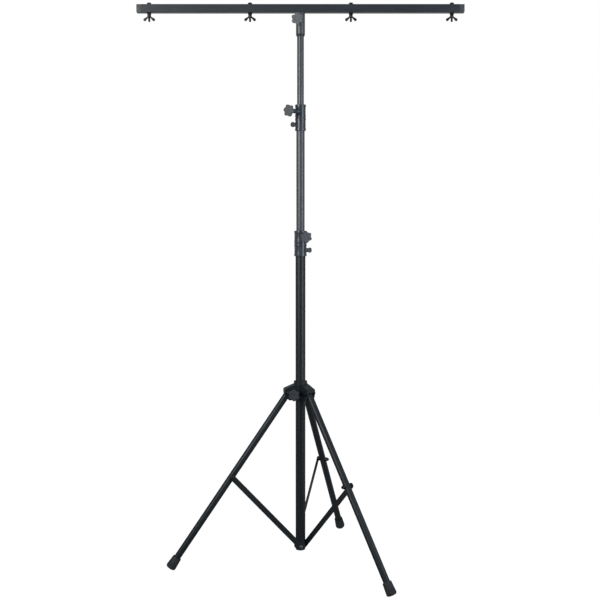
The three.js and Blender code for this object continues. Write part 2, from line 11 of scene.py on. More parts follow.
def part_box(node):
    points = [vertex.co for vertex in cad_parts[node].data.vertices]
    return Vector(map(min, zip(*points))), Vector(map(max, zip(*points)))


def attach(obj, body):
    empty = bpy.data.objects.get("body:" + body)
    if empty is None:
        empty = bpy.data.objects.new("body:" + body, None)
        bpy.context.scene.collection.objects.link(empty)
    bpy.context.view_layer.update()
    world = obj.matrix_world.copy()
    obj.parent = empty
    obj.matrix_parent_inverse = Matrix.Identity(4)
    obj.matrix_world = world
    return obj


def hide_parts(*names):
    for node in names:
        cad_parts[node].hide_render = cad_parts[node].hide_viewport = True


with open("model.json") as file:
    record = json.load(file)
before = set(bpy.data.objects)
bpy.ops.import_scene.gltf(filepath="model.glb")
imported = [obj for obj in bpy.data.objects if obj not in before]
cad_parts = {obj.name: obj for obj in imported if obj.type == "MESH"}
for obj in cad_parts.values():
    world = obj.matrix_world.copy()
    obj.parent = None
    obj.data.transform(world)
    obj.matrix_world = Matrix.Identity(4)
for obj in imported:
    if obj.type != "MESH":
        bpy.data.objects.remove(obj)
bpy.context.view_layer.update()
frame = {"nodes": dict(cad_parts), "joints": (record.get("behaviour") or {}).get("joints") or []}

# Shared clearance, how finely round things are divided, and what counts as a corner
GAP = 0.0003
ROUND_STEPS = 72
SMALL_STEPS = 48
HEX_STEPS = 60
STAR_STEPS = 144
KNOB_STEPS = 8
ARC_STEPS = 5
CORNER_STEPS = 8
BEVEL_STEPS = 3
SHARP_ANGLE = math.radians(32)
STRAIGHT_ANGLE = math.radians(4)
CORNER_REACH_SHARE = 0.48
WELD_DISTANCE = 1e-6
NO_LENGTH = 1e-9
HEX_SECTOR = math.pi / 3

# Crossbar
BAR_WIDTH = 0.030
BAR_CORNER = 0.0025
CAP_LENGTH = 0.018
CAP_CORNER = 0.0042
CAP_EDGE = 0.0016

# Bolts and nuts
BOLT_RADIUS = 0.004
BOLT_LENGTH = 0.062
THREAD_DEPTH = 0.00055
THREAD_PITCH = 0.00125
THREAD_STEPS = 8
SHANK_EDGE = 0.0001
HEX_ACROSS = 0.013
HEX_HEIGHT = 0.0053
HEX_CHAMFER_SHARE = 0.4
WASHER_RADIUS = 0.00875
WASHER_HEIGHT = 0.0016
WASHER_EDGE = 0.0004
LOCK_NUT_HEIGHT = 0.010
NUT_COLLAR = 0.0024
NUT_COLLAR_EDGE = 0.002
NUT_FLANGE_EDGE = 0.0005
BOLT_TIP = 0.0025
DOME_RADIUS = 0.0075
RIVET_RADIUS = 0.007
DOME_HEIGHT = 0.003
DOME_RIM = 0.0006
DOME_STEPS = 8

# Wing nuts
WING_HUB_TOP = 0.0075
WING_HUB_LOW = 0.00575
WING_HUB_HEIGHT = 0.0075
WING_HEIGHT = 0.0188
WING_SPAN = 0.043
WING_TIP_RADIUS = 0.00525
WING_THICKNESS = 0.004
WING_ROOT_DROP = 0.0015
WING_TIP_ANGLE = math.radians(48)
WING_TIP_STEPS = 14
WING_EDGE = 0.0014
WING_EDGE_STEPS = 4
WING_HUB_EDGE = 0.0008

# Tee socket
SOCKET_RADIUS = 0.0165
SOCKET_LENGTH = 0.0845
SOCKET_LIP_HEIGHT = 0.008
SOCKET_LIP_RADIUS = 0.01475
SOCKET_EDGE = 0.0006
WELD_SIZE = 0.0016
WELD_RIPPLES = 60
WELD_RIPPLE_STEPS = 3
WELD_RIPPLE_SHARE = 0.12
TEE_BOSS_REACH = 0.026
TEE_KNOB_FACE = 0.057
TEE_KNOB_TURN = math.radians(3)

# Mast tubes
TUBE_WALL = 0.0015
TUBE_EDGE = 0.0003
TOP_RADIUS = 0.0125
MIDDLE_RADIUS = 0.0155
LOWER_RADIUS = 0.0185
PLUG_FLANGE = 0.005
PLUG_EDGE = 0.002
NYLON_EDGE = 0.0008

# Collars
UPPER_SEAT = 0.0465
UPPER_BODY_RADIUS = 0.01915
UPPER_RIM_RADIUS = 0.020
UPPER_RIM_HEIGHT = 0.009
UPPER_BEAD = 0.007
UPPER_GROOVE = 0.005
UPPER_BOSS_REACH = 0.040
UPPER_KNOB_FACE = 0.069
UPPER_KNOB_TURN = math.radians(16)
UPPER_PIN_HEIGHT = 0.0212
UPPER_PIN_AZIMUTH = math.radians(-142)
LOWER_SEAT = 0.045
LOWER_BODY_RADIUS = 0.0225
LOWER_RIM_RADIUS = 0.0233
LOWER_RIM_HEIGHT = 0.009
LOWER_BEAD = 0.009
LOWER_GROOVE = 0.004
LOWER_BOSS_REACH = 0.030
LOWER_KNOB_FACE = 0.061
LOWER_KNOB_TURN = math.radians(7)
LOWER_PIN_HEIGHT = 0.0231
LOWER_PIN_AZIMUTH = math.radians(-30)
COLLAR_EDGE = 0.0009
BOSS_RADIUS = 0.0085
BOSS_FLARE = 0.003
BOSS_EDGE = 0.0007

# Lock pins
PIN_RADIUS = 0.003
PIN_BARREL_RADIUS = 0.0075
PIN_BARREL_LENGTH = 0.011
PIN_CAP_RADIUS = 0.0095
PIN_CAP_LENGTH = 0.0095
PIN_CAP_EDGE = 0.0034
PIN_KNURL = 0.0003
PIN_KNURLS = 24

# Star knobs
KNOB_RADIUS = 0.0225
KNOB_THICKNESS = 0.013
KNOB_HUB_RADIUS = 0.0085
KNOB_SCALLOP = 0.0046
KNOB_LOBES = 6
KNOB_EDGE = 0.0026
KNOB_FLARE = 0.0045
KNOB_DISH_RADIUS = 0.0105
KNOB_DISH_DEPTH = 0.0007

# Legs, braces and feet
LEG_ANGLE = math.radians(34.6)
LEG_LENGTH = 0.7885
LEG_RADIUS = 0.0125
LEG_WALL = 0.0015
LEG_TOP_RISE = 0.0115
BRACE_ON_LEG = 0.3775
BRACE_LENGTH = 0.3815
BRACE_WIDTH = 0.021
BRACE_THICKNESS = 0.003
BRACE_FOOT_RADIUS = 0.001
BRACE_EDGE = 0.0007
BRACE_END_STEPS = 16
SPACER_RADIUS = 0.007
FOOT_LENGTH = 0.0485
FOOT_TOP_RADIUS = 0.0165
FOOT_RADIUS = 0.019
FOOT_EDGE = 0.008
FOOT_EDGE_STEPS = 12
FOOT_SOLE = 0.008
FOOT_GROOVE = 0.0007
FOOT_GROOVE_PITCH = 0.004
FOOT_GROOVES = 3
FOOT_GROOVE_SHARES = ((-1, 0), (-0.5, 0.7), (0, 1), (0.5, 0.7), (1, 0))
FOOT_LIP = 0.0012

# Crown, with its heights measured from the leg pivots
HUB_RADIUS = 0.024
HUB_TOP = 0.0435
HUB_BOTTOM = -0.0295
NECK_RADIUS = 0.0253
NECK_HEIGHT = 0.014
ARM_WIDTH = 0.0375
ARM_SLOT = 0.026
ARM_END = 0.063
ARM_WALL = 0.003
ARM_TOP_INNER = 0.032
ARM_TOP_OUTER = 0.017
ARM_CORNER = 0.003
ARM_CHEEK_BOTTOM = -0.027
ARM_CHEEK_REACH = 0.046
ARM_CHEEK_CORNER = -0.014
ARM_WALL_BOTTOM = 0.004
ARM_ROUND = 0.007
CROWN_EDGE = 0.0012
CROWN_BOSS_RADIUS = 0.010
CROWN_BOSS_REACH = 0.052
CROWN_KNOB_FACE = 0.075
CROWN_KNOB_TURN = math.radians(2)
OVERRUN = 0.01

# Camera: the photograph's viewpoint, seen from the front of the mast
CAMERA_DISTANCE = 4.044
CAMERA_HEIGHT = 1.3155
CAMERA_PITCH = math.radians(4.41)
CAMERA_LENS = 65.02
CAMERA_SENSOR = 36
CAMERA_SHIFT = -0.0008
CAMERA_REACH = 100

# Noise: how much of its range is used, and how rich it is
SPREAD_START = 0.3
SPREAD_END = 0.7
BLEND_START = 0.35
BLEND_END = 0.65
FINE_DETAIL = 2
PLAIN_DETAIL = 3
RICH_DETAIL = 4

# Paint, with its noises in waves to the metre
PAINT_IOR = 1.52
PAINT_COAT = 0.25
PAINT_COAT_ROUGHNESS = 0.3
PAINT_GLOSS = 0.5
PAINT_CLOUDS = 9
PAINT_CLOUD_STRETCH = (1, 1, 0.4)
PAINT_RUBBING = 60
PAINT_RUBBING_STRETCH = (4, 4, 0.25)
PAINT_PEEL = 700
PAINT_PEEL_STRENGTH = 0.04
PAINT_PEEL_DEPTH = 0.0001
TUBE_COLOURS = ((0.041, 0.043, 0.048), (0.052, 0.054, 0.061))
TUBE_ROUGHNESS = (0.34, 0.44)
# Painted shade: the lower tube's colours are a darker copy of the tube paint above, for the light that falls
# off towards the floor
LOWER_MAST_SHADED_COLOURS = ((0.001, 0.003, 0.0045), (0.003, 0.0055, 0.0085))
LOWER_ROUGHNESS = (0.42, 0.52)
LOWER_COAT = 0.12
LOWER_GLOSS = 0.44
LOWER_COAT_ROUGHNESS = 0.36
BAR_COLOURS = ((0.017, 0.022, 0.028), (0.023, 0.028, 0.035))
BAR_ROUGHNESS = (0.34, 0.46)
LEG_COLOURS = ((0.004, 0.0065, 0.008), (0.008, 0.011, 0.0135))
LEG_GLOSS = 0.32
CROWN_COLOURS = ((0.003, 0.006, 0.008), (0.007, 0.011, 0.014))
CROWN_GLOSS = 0.35
TRIPOD_ROUGHNESS = (0.40, 0.54)
TRIPOD_COAT = 0.05

# Plastic
PLASTIC_IOR = 1.49
PLASTIC_CLOUDS = 35
PLASTIC_SHEEN = 220
PLASTIC_GRAIN = 1400
PLASTIC_GRAIN_STRENGTH = 0.22
PLASTIC_GRAIN_DEPTH = 0.0001
KNOB_COLOURS = ((0.078, 0.080, 0.084), (0.098, 0.100, 0.104))
# Painted shade: the crown and lower knobs take darker copies of the same knob plastic, darkened for the light
# that falls off towards the floor
SHADED_CROWN_KNOB_COLOURS = ((0.013, 0.017, 0.023), (0.020, 0.025, 0.033))
SHADED_LOWER_KNOB_COLOURS = ((0.044, 0.045, 0.050), (0.058, 0.059, 0.065))
KNOB_ROUGHNESS = (0.46, 0.60)
COLLAR_COLOURS = ((0.033, 0.037, 0.046), (0.044, 0.049, 0.059))
COLLAR_ROUGHNESS = (0.20, 0.30)
COLLAR_GRAIN_STRENGTH = 0.07
CAP_COLOURS = ((0.048, 0.048, 0.052), (0.064, 0.064, 0.068))
CAP_ROUGHNESS = (0.40, 0.54)
NYLON_COLOURS = ((0.014, 0.014, 0.016), (0.022, 0.022, 0.025))
NYLON_ROUGHNESS = (0.40, 0.55)
NYLON_GRAIN = 1000

# Plated steel and rubber
PLATE_CLOUDS = 130
PLATE_SHEEN = 400
PLATE_GRAIN = 1600
PLATE_GRAIN_STRENGTH = 0.15
PLATE_GRAIN_DEPTH = 0.00008
ZINC_COLOURS = ((0.12, 0.12, 0.125), (0.20, 0.197, 0.19))
ZINC_ROUGHNESS = (0.34, 0.48)
BLACK_ZINC_COLOURS = ((0.030, 0.031, 0.034), (0.062, 0.062, 0.066))
BLACK_ZINC_ROUGHNESS = (0.34, 0.50)
RUBBER_CLOUDS = 50
RUBBER_SHEEN = 160
RUBBER_GRAIN = 1200
RUBBER_GRAIN_STRENGTH = 0.3
RUBBER_GRAIN_DEPTH = 0.00015
RUBBER_COLOURS = ((0.008, 0.009, 0.010), (0.014, 0.015, 0.016))
RUBBER_ROUGHNESS = (0.62, 0.85)

# Floor
WHITE = (1, 1, 1, 1)
FLOOR_REACH = 30
FLOOR_CLOUDS = 3
FLOOR_DARK = (0.84, 0.84, 0.84)
FLOOR_LIGHT = (0.90, 0.90, 0.90)
FLOOR_ROUGHNESS = 0.9
FLOOR_GLOW = 1.12
FLOOR_GLOW_SHARE = 0.86
FLOOR_FRONT_TO_BACK = (0.0, 1.8)

# Studio light
ROOM_COLOUR = (0.84, 0.93, 1.0)
MIRROR_COLOUR = (0.86, 0.94, 1.0)
ROOM_LIGHT = 0.45
FRONT_LIGHT = 0.10
BACK_LIGHT = 0.4
TOP_LIGHT = 0.6
FRONT_TO_BACK = (-0.1, 0.8)
LEVEL_TO_TOP = (0.3, 1.0)
KEY_PLACE = (-2.2, -2.5, 2.2)
KEY_TARGET = (0, 0, 1.7)
KEY_SIZE = (1.3, 1.7)
KEY_POWER = 70
KEY_COLOUR = (1.0, 0.99, 0.97)
FILL_PLACE = (2.6, -2.0, 1.5)
FILL_TARGET = (0, 0, 1.4)
FILL_SIZE = (1.4, 2.4)
FILL_POWER = 56
FILL_COLOUR = (0.76, 0.90, 1.0)

# Places read from the frame
joints = {joint["name"]: joint for joint in frame["joints"]}


def middle(node, axis):
    low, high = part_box(node)
    return (low[axis] + high[axis]) / 2


MAST_Y = middle("lower_tube", 1)
BAR_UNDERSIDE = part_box("crossbar")[0].z
BAR_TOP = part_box("crossbar")[1].z
BAR_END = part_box("crossbar_end_cap_right")[1].x
UPPER_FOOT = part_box("upper_collar")[0].z
UPPER_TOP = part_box("upper_collar")[1].z
LOWER_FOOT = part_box("lower_collar")[0].z
LOWER_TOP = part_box("lower_collar")[1].z
POLE_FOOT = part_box("lower_tube_plug")[0].z
PIVOT_HEIGHT = joints["leg_1_fold"]["pos_m"][2]
UP = Vector((0, 0, 1))


# Mesh helpers
def loft(name, rows, wrap=False, cap=True):
    """A skin over rows of points that hold the same number of points, closed round each row."""
    count = len(rows[0])
    vertices = [tuple(point) for row in rows for point in row]
    faces = []
    for row in range(len(rows) if wrap else len(rows) - 1):
        here = row * count
        there = ((row + 1) % len(rows)) * count
        for index in range(count):
            after = (index + 1) % count
            faces.append((here + index, here + after, there + after, there + index))
    if cap and not wrap:
        faces.append(tuple(range(count)))
        faces.append(tuple(range((len(rows) - 1) * count, len(rows) * count)))
    mesh = bpy.data.meshes.new(name)
    mesh.from_pydata(vertices, [], faces)
    obj = bpy.data.objects.new(name, mesh)
    bpy.context.scene.collection.objects.link(obj)
    soften(obj)
    return obj


def soften(obj):
    """Welds the mesh, turns its faces outwards and shades it smooth except at sharp edges."""
    mesh = bmesh.new()
    mesh.from_mesh(obj.data)
    bmesh.ops.remove_doubles(mesh, verts=mesh.verts, dist=WELD_DISTANCE)
    bmesh.ops.recalc_face_normals(mesh, faces=mesh.faces)
    for face in mesh.faces:
        face.smooth = True
    for edge in mesh.edges:
        edge.smooth = len(edge.link_faces) == 2 and edge.calc_face_angle(0) < SHARP_ANGLE
    mesh.to_mesh(obj.data)
    mesh.free()


def fillet(points, radius, steps=ARC_STEPS, closed=True):
    """The outline with each corner rounded by the radius, or by less where a side is short."""
    result = []
    count = len(points)
    for index, point in enumerate(points):
        corner = Vector(point)
        before = Vector(points[index - 1]) - corner
        after = Vector(points[(index + 1) % count]) - corner
        at_end = not closed and index in (0, count - 1)
        if at_end or min(before.length, after.length) < NO_LENGTH:
            result.append(tuple(corner))
            continue
        turn = math.pi - before.angle(after)
        if turn < STRAIGHT_ANGLE:
            result.append(tuple(corner))
            continue
        longest = CORNER_REACH_SHARE * min(before.length, after.length)
        reach = min(radius * math.tan(turn / 2), longest)
        start = corner + before.normalized() * reach
        end = corner + after.normalized() * reach
        for step in range(steps + 1):
            share = step / steps
            point = start * (1 - share) ** 2 + corner * 2 * share * (1 - share) + end * share**2
            result.append(tuple(point))
    return result


def revolve(name, profile, steps=ROUND_STEPS, shape=None):
    """A profile of (radius, height) turned about Z. Shape may change a radius with its angle."""
    rows = []
    for radius, height in profile:
        row = []
        for index in range(steps):
            angle = 2 * math.pi * index / steps
            reach = shape(radius, angle) if shape else radius
            row.append((reach * math.cos(angle), reach * math.sin(angle), height))
        rows.append(row)
    return loft(name, rows, wrap=profile[0][0] > 0, cap=False)


def turned(name, profile, edge, steps=ROUND_STEPS):
    """A turned piece with its edges rounded. A profile that starts on the axis is a solid one."""
    return revolve(name, fillet(profile, edge, closed=profile[0][0] > 0), steps)


def tube(name, outer, inner, low, high):
    return turned(name, [(inner, low), (outer, low), (outer, high), (inner, high)], TUBE_EDGE)


def prism(name, outline, low, high):
    """An outline in X and Y between two heights."""
    return loft(name, [[(x, y, z) for x, y in outline] for z in (low, high)])


def join(target, *others):
    """Adds the other meshes to the target as further shells of one object."""
    mesh = bmesh.new()
    mesh.from_mesh(target.data)
    for other in others:
        copy = other.data.copy()
        copy.transform(target.matrix_basis.inverted() @ other.matrix_basis)
        mesh.from_mesh(copy)
        bpy.data.meshes.remove(copy)
        bpy.data.objects.remove(other)
    mesh.to_mesh(target.data)
    mesh.free()
    return target


def carve(target, operation, *others):
    """Joins the other solids to the target, or cuts them from it, and keeps the result as its mesh."""
    for other in others:
        change = target.modifiers.new(operation, "BOOLEAN")
        change.operation = operation
        change.solver = "EXACT"
        change.object = other
        bpy.context.view_layer.update()
        graph = bpy.context.evaluated_depsgraph_get()
        mesh = bpy.data.meshes.new_from_object(target.evaluated_get(graph))
        target.modifiers.clear()
        target.data = mesh
        bpy.data.objects.remove(other)
    soften(target)
    return target


def bevel(obj, width, segments=BEVEL_STEPS):
    """Rounds the sharp edges of a piece."""
    change = obj.modifiers.new("edges", "BEVEL")
    change.width = width
    change.segments = segments
    change.limit_method = "ANGLE"
    change.angle_limit = SHARP_ANGLE
    change.harden_normals = True
    return obj


def settle(obj):
    """Turns the rounded edges of a piece into plain mesh, so that it can be joined to another."""
    bpy.context.view_layer.update()
    graph = bpy.context.evaluated_depsgraph_get()
    mesh = bpy.data.meshes.new_from_object(obj.evaluated_get(graph))
    obj.modifiers.clear()
    obj.data = mesh
    return obj


# Places and directions
def facing(origin, direction):
    """A place whose Z points along the direction."""
    turn = Vector(direction).to_track_quat("Z", "Y").to_matrix().to_4x4()
    return Matrix.Translation(Vector(origin)) @ turn


def on_axes(origin, x, y, z):
    turn = Matrix((x, y, z)).transposed().to_4x4()
    return Matrix.Translation(Vector(origin)) @ turn


def on_mast(height):
    return Matrix.Translation((0, MAST_Y, height))


def ray_place(azimuth, height):
    """A place on the mast axis whose Z points out along a ray and whose X points down."""
    out = Vector((math.cos(azimuth), math.sin(azimuth), 0))
    return on_axes((0, MAST_Y, height), -UP, UP.cross(out), out)


def dress(obj, place, finish, slot, body, *nodes):
    """Places a piece, gives it its finish, ties it to its body and hides the solids it stands for."""
    obj.matrix_world = place
    obj.data.materials.clear()
    obj.data.materials.append(finish)
    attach(obj, body)
    if nodes:
        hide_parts(*nodes)


def paint_solid(node, finish):
    """Gives a solid of the frame, kept as it is, its finish."""
    solid = frame["nodes"][node]
    solid.data.materials.clear()
    solid.data.materials.append(finish)


# Material helpers
def material(name):
    made = bpy.data.materials.new(name)
    made.use_nodes = True
    return made, made.node_tree, made.node_tree.nodes["Principled BSDF"]


def noise(tree, scale, stretch=(1, 1, 1), detail=PLAIN_DETAIL):
    """Noise in the piece's own coordinates. The scale is in waves to the metre."""
    place = tree.nodes.new("ShaderNodeTexCoord")
    mapping = tree.nodes.new("ShaderNodeMapping")
    mapping.inputs["Scale"].default_value = stretch
    texture = tree.nodes.new("ShaderNodeTexNoise")
    texture.inputs["Scale"].default_value = scale
    texture.inputs["Detail"].default_value = detail
    tree.links.new(place.outputs["Object"], mapping.inputs["Vector"])
    tree.links.new(mapping.outputs["Vector"], texture.inputs["Vector"])
    return texture.outputs["Fac"]


def spread(tree, value, low, high, start=SPREAD_START, end=SPREAD_END):
    """Spreads a value between two numbers."""
    node = tree.nodes.new("ShaderNodeMapRange")
    node.inputs["From Min"].default_value = start
    node.inputs["From Max"].default_value = end
    node.inputs["To Min"].default_value = low
    node.inputs["To Max"].default_value = high
    tree.links.new(value, node.inputs["Value"])
    return node.outputs["Result"]


def blend(tree, value, low, high):
    """Blends two colours by a value."""
    ramp = tree.nodes.new("ShaderNodeValToRGB")
    ramp.color_ramp.elements[0].position = BLEND_START
    ramp.color_ramp.elements[1].position = BLEND_END
    ramp.color_ramp.elements[0].color = (*low, 1)
    ramp.color_ramp.elements[1].color = (*high, 1)
    tree.links.new(value, ramp.inputs["Fac"])
    return ramp.outputs["Color"]


def bump(tree, shader, value, strength, distance):
    node = tree.nodes.new("ShaderNodeBump")
    node.inputs["Strength"].default_value = strength
    node.inputs["Distance"].default_value = distance
    tree.links.new(value, node.inputs["Height"])
    tree.links.new(node.outputs["Normal"], shader.inputs["Normal"])


def give(tree, shader, colour, roughness):
    """Gives the shader its base colour and its roughness."""
    tree.links.new(colour, shader.inputs["Base Color"])
    tree.links.new(roughness, shader.inputs["Roughness"])


def painted(name, colours, roughness, coat=PAINT_COAT, gloss=PAINT_GLOSS, coat_rough=PAINT_COAT_ROUGHNESS):
    """Baked paint on steel: a faint orange peel, soft clouding and lengthwise rubbing."""
    made, tree, shader = material(name)
    clouds = noise(tree, PAINT_CLOUDS, PAINT_CLOUD_STRETCH)
    rubbing = noise(tree, PAINT_RUBBING, PAINT_RUBBING_STRETCH, RICH_DETAIL)
    give(tree, shader, blend(tree, clouds, *colours), spread(tree, rubbing, *roughness))
    shader.inputs["IOR"].default_value = PAINT_IOR
    shader.inputs["Specular IOR Level"].default_value = gloss
    shader.inputs["Coat Weight"].default_value = coat
    shader.inputs["Coat Roughness"].default_value = coat_rough
    peel = noise(tree, PAINT_PEEL, detail=FINE_DETAIL)
    bump(tree, shader, peel, PAINT_PEEL_STRENGTH, PAINT_PEEL_DEPTH)
    return made


def moulded(name, colours, roughness, grain=PLASTIC_GRAIN, strength=PLASTIC_GRAIN_STRENGTH):
    """Moulded plastic with a fine spark-eroded grain."""
    made, tree, shader = material(name)
    colour = blend(tree, noise(tree, PLASTIC_CLOUDS), *colours)
    give(tree, shader, colour, spread(tree, noise(tree, PLASTIC_SHEEN), *roughness))
    shader.inputs["IOR"].default_value = PLASTIC_IOR
    bump(tree, shader, noise(tree, grain, detail=FINE_DETAIL), strength, PLASTIC_GRAIN_DEPTH)
    return made


def plated(name, colours, roughness):
    """Plated steel: soft clouds of tint over a fine tumbled surface."""
    made, tree, shader = material(name)
    shader.inputs["Metallic"].default_value = 1
    colour = blend(tree, noise(tree, PLATE_CLOUDS, detail=RICH_DETAIL), *colours)
    give(tree, shader, colour, spread(tree, noise(tree, PLATE_SHEEN, detail=RICH_DETAIL), *roughness))
    bump(tree, shader, noise(tree, PLATE_GRAIN), PLATE_GRAIN_STRENGTH, PLATE_GRAIN_DEPTH)
    return made


def rubber(name):
    """Matt rubber with a coarse grain."""
    made, tree, shader = material(name)
    colour = blend(tree, noise(tree, RUBBER_CLOUDS, detail=RICH_DETAIL), *RUBBER_COLOURS)
    give(tree, shader, colour, spread(tree, noise(tree, RUBBER_SHEEN), *RUBBER_ROUGHNESS))
    grain = noise(tree, RUBBER_GRAIN, detail=FINE_DETAIL)
    bump(tree, shader, grain, RUBBER_GRAIN_STRENGTH, RUBBER_GRAIN_DEPTH)
    return made


lower_coat = (LOWER_COAT, LOWER_GLOSS, LOWER_COAT_ROUGHNESS)
collar_grain = (PLASTIC_GRAIN, COLLAR_GRAIN_STRENGTH)
tube_paint = painted("tube_paint", TUBE_COLOURS, TUBE_ROUGHNESS)
# The lower tube's paint is the tube paint darkened: painted shade
lower_mast_shaded_paint = painted("lower_tube_shaded_paint", LOWER_MAST_SHADED_COLOURS, LOWER_ROUGHNESS, *lower_coat)
bar_paint = painted("bar_paint", BAR_COLOURS, BAR_ROUGHNESS)
leg_paint = painted("leg_paint", LEG_COLOURS, TRIPOD_ROUGHNESS, TRIPOD_COAT, LEG_GLOSS)
crown_paint = painted("crown_paint", CROWN_COLOURS, TRIPOD_ROUGHNESS, TRIPOD_COAT, CROWN_GLOSS)
knob_plastic = moulded("knob_plastic", KNOB_COLOURS, KNOB_ROUGHNESS)
# Darker copies of the knob plastic for the crown and lower knobs: painted shade
crown_knob_shaded_plastic = moulded("crown_knob_shaded_plastic", SHADED_CROWN_KNOB_COLOURS, KNOB_ROUGHNESS)
collar_plastic = moulded("collar_plastic", COLLAR_COLOURS, COLLAR_ROUGHNESS, *collar_grain)
lower_knob_shaded_plastic = moulded("lower_knob_shaded_plastic", SHADED_LOWER_KNOB_COLOURS, KNOB_ROUGHNESS)
cap_plastic = moulded("cap_plastic", CAP_COLOURS, CAP_ROUGHNESS)
nylon = moulded("nylon", NYLON_COLOURS, NYLON_ROUGHNESS, NYLON_GRAIN)
zinc = plated("zinc_plate", ZINC_COLOURS, ZINC_ROUGHNESS)
black_zinc = plated("black_zinc_plate", BLACK_ZINC_COLOURS, BLACK_ZINC_ROUGHNESS)
foot_rubber = rubber("foot_rubber")


# Fasteners: heads and lock nuts stand up from zero, shanks and wing nuts hang below it
def hexagon(radius, angle):
    flat = (HEX_ACROSS / 2) / math.cos(angle % HEX_SECTOR - HEX_SECTOR / 2)
    return min(radius, flat)


def thread(name, low, high):
    """A screwed shank, a little thinner over the last turn at its low end."""
    turns = (high - low) / THREAD_PITCH
    rings = round(turns * THREAD_STEPS)
    rows = [[(0, 0, low)] * SMALL_STEPS]
    for ring in range(rings + 1):
        height = low + (high - low) * ring / rings
        run_out = min(1, (height - low) / THREAD_PITCH)
        row = []
        for index in range(SMALL_STEPS):
            angle = 2 * math.pi * index / SMALL_STEPS
            phase = (height / THREAD_PITCH - index / SMALL_STEPS) % 1
            depth = THREAD_DEPTH * abs(2 * phase - 1)
            radius = BOLT_RADIUS - depth - THREAD_DEPTH * (1 - run_out)
            row.append((radius * math.cos(angle), radius * math.sin(angle), height))
        rows.append(row)
    rows.append([(0, 0, high)] * SMALL_STEPS)
    return loft(name, rows, cap=False)


def hex_head(name, low, high):
    """A hexagon with its upper corners chamfered."""
    corner = HEX_ACROSS / math.sqrt(3)
    chamfer = HEX_CHAMFER_SHARE * (corner - HEX_ACROSS / 2)
    crest = HEX_ACROSS / 2 - chamfer
    profile = [(0, low), (corner, low), (corner, high - chamfer), (crest, high), (0, high)]
    return revolve(name, profile, HEX_STEPS, hexagon)


def washer(name, low, high):
    ring = [(BOLT_RADIUS, low), (WASHER_RADIUS, low), (WASHER_RADIUS, high), (BOLT_RADIUS, high)]
    return turned(name, ring, WASHER_EDGE)


def hex_bolt(name, length, screwed):
    """A bolt on a washer. Only the screwed length shows its thread."""
    head = hex_head(name, WASHER_HEIGHT, WASHER_HEIGHT + HEX_HEIGHT)
    end = screwed - length
    plain = turned("plain", [(0, end), (BOLT_RADIUS, end), (BOLT_RADIUS, 0), (0, 0)], SHANK_EDGE)
    return join(head, washer("washer", 0, WASHER_HEIGHT), plain, thread("thread", -length, end))


def lock_nut(name):
    """A flanged nut with the round collar of its locking ring at the far end."""
    seat = BOLT_RADIUS + GAP
    hex_top = LOCK_NUT_HEIGHT - NUT_COLLAR
    skirt = [(seat, 0), (WASHER_RADIUS, 0), (WASHER_RADIUS, WASHER_HEIGHT / 2)]
    skirt += [(HEX_ACROSS / 2, 2 * WASHER_HEIGHT), (seat, 2 * WASHER_HEIGHT)]
    flange = turned(name, skirt, NUT_FLANGE_EDGE, SMALL_STEPS)
    ring_radius = HEX_ACROSS / 2 - NUT_FLANGE_EDGE
    ring = [(seat, hex_top), (ring_radius, hex_top), (ring_radius, LOCK_NUT_HEIGHT), (seat, LOCK_NUT_HEIGHT)]
    collar = turned("collar", ring, NUT_COLLAR_EDGE, SMALL_STEPS)
    return join(flange, hex_head("hex", WASHER_HEIGHT, hex_top), collar)


def domed_pin(name, radius, length):
    """A plain shank under a domed head."""
    profile = [(0, -length), (BOLT_RADIUS, -length), (BOLT_RADIUS, 0), (radius, 0)]
    for step in range(1, DOME_STEPS + 1):
        angle = step / DOME_STEPS * math.pi / 2
        height = DOME_RIM + (DOME_HEIGHT - DOME_RIM) * math.sin(angle)
        profile.append((radius * math.cos(angle), height))
    return revolve(name, profile, SMALL_STEPS)


def wing_outline():
    """One wing: from a short root on the hub, out and down to a round tip."""
    root = (WING_HUB_LOW + BOLT_RADIUS) / 2
    centre = Vector((WING_SPAN / 2 - WING_TIP_RADIUS, WING_TIP_RADIUS - WING_HEIGHT))
    points = [(root, -WING_HUB_HEIGHT), (root, -WING_ROOT_DROP)]
    for step in range(WING_TIP_STEPS + 1):
        angle = WING_TIP_ANGLE - math.pi * step / WING_TIP_STEPS
        out = centre.x + WING_TIP_RADIUS * math.cos(angle)
        points.append((out, centre.y + WING_TIP_RADIUS * math.sin(angle)))
    return points


def wing(name, side):
    half = WING_THICKNESS / 2
    rows = [[(side * x, side * y, z) for x, z in wing_outline()] for y in (-half, half)]
    return bevel(loft(name, rows), WING_EDGE, WING_EDGE_STEPS)


def wing_nut(name):
    """A short tapered hub with two pressed wings. The wings sink into the hub's wall."""
    seat = BOLT_RADIUS + GAP
    profile = [(seat, -WING_HUB_HEIGHT), (WING_HUB_LOW, -WING_HUB_HEIGHT), (WING_HUB_TOP, 0), (seat, 0)]
    hub = turned(name, profile, WING_HUB_EDGE, SMALL_STEPS)
    wings = [settle(wing("right", 1)), settle(wing("left", -1))]
    return join(hub, *wings)


def build_fixture_bolt(number):
    place = middle(f"fixture_bolt_{number}", 0)
    seat = Matrix.Translation((place, MAST_Y, BAR_TOP))
    under = BAR_UNDERSIDE - GAP
    bolt = hex_bolt(f"lamp_bolt_{number}", BOLT_LENGTH, BOLT_LENGTH - BAR_WIDTH)
    dress(bolt, seat, black_zinc, "black_zinc", "tee_head", f"fixture_bolt_{number}")
    nut = lock_nut(f"lamp_lock_nut_{number}")
    low = facing((place, MAST_Y, under), -UP)
    dress(nut, low, black_zinc, "black_zinc", "tee_head", f"bolt_lock_nut_{number}")
    wings = Matrix.Translation((place, MAST_Y, under - LOCK_NUT_HEIGHT - GAP))
    piece = wing_nut(f"lamp_wing_nut_{number}")
    dress(piece, wings, black_zinc, "black_zinc", f"wing_{number}", f"wing_nut_{number}")


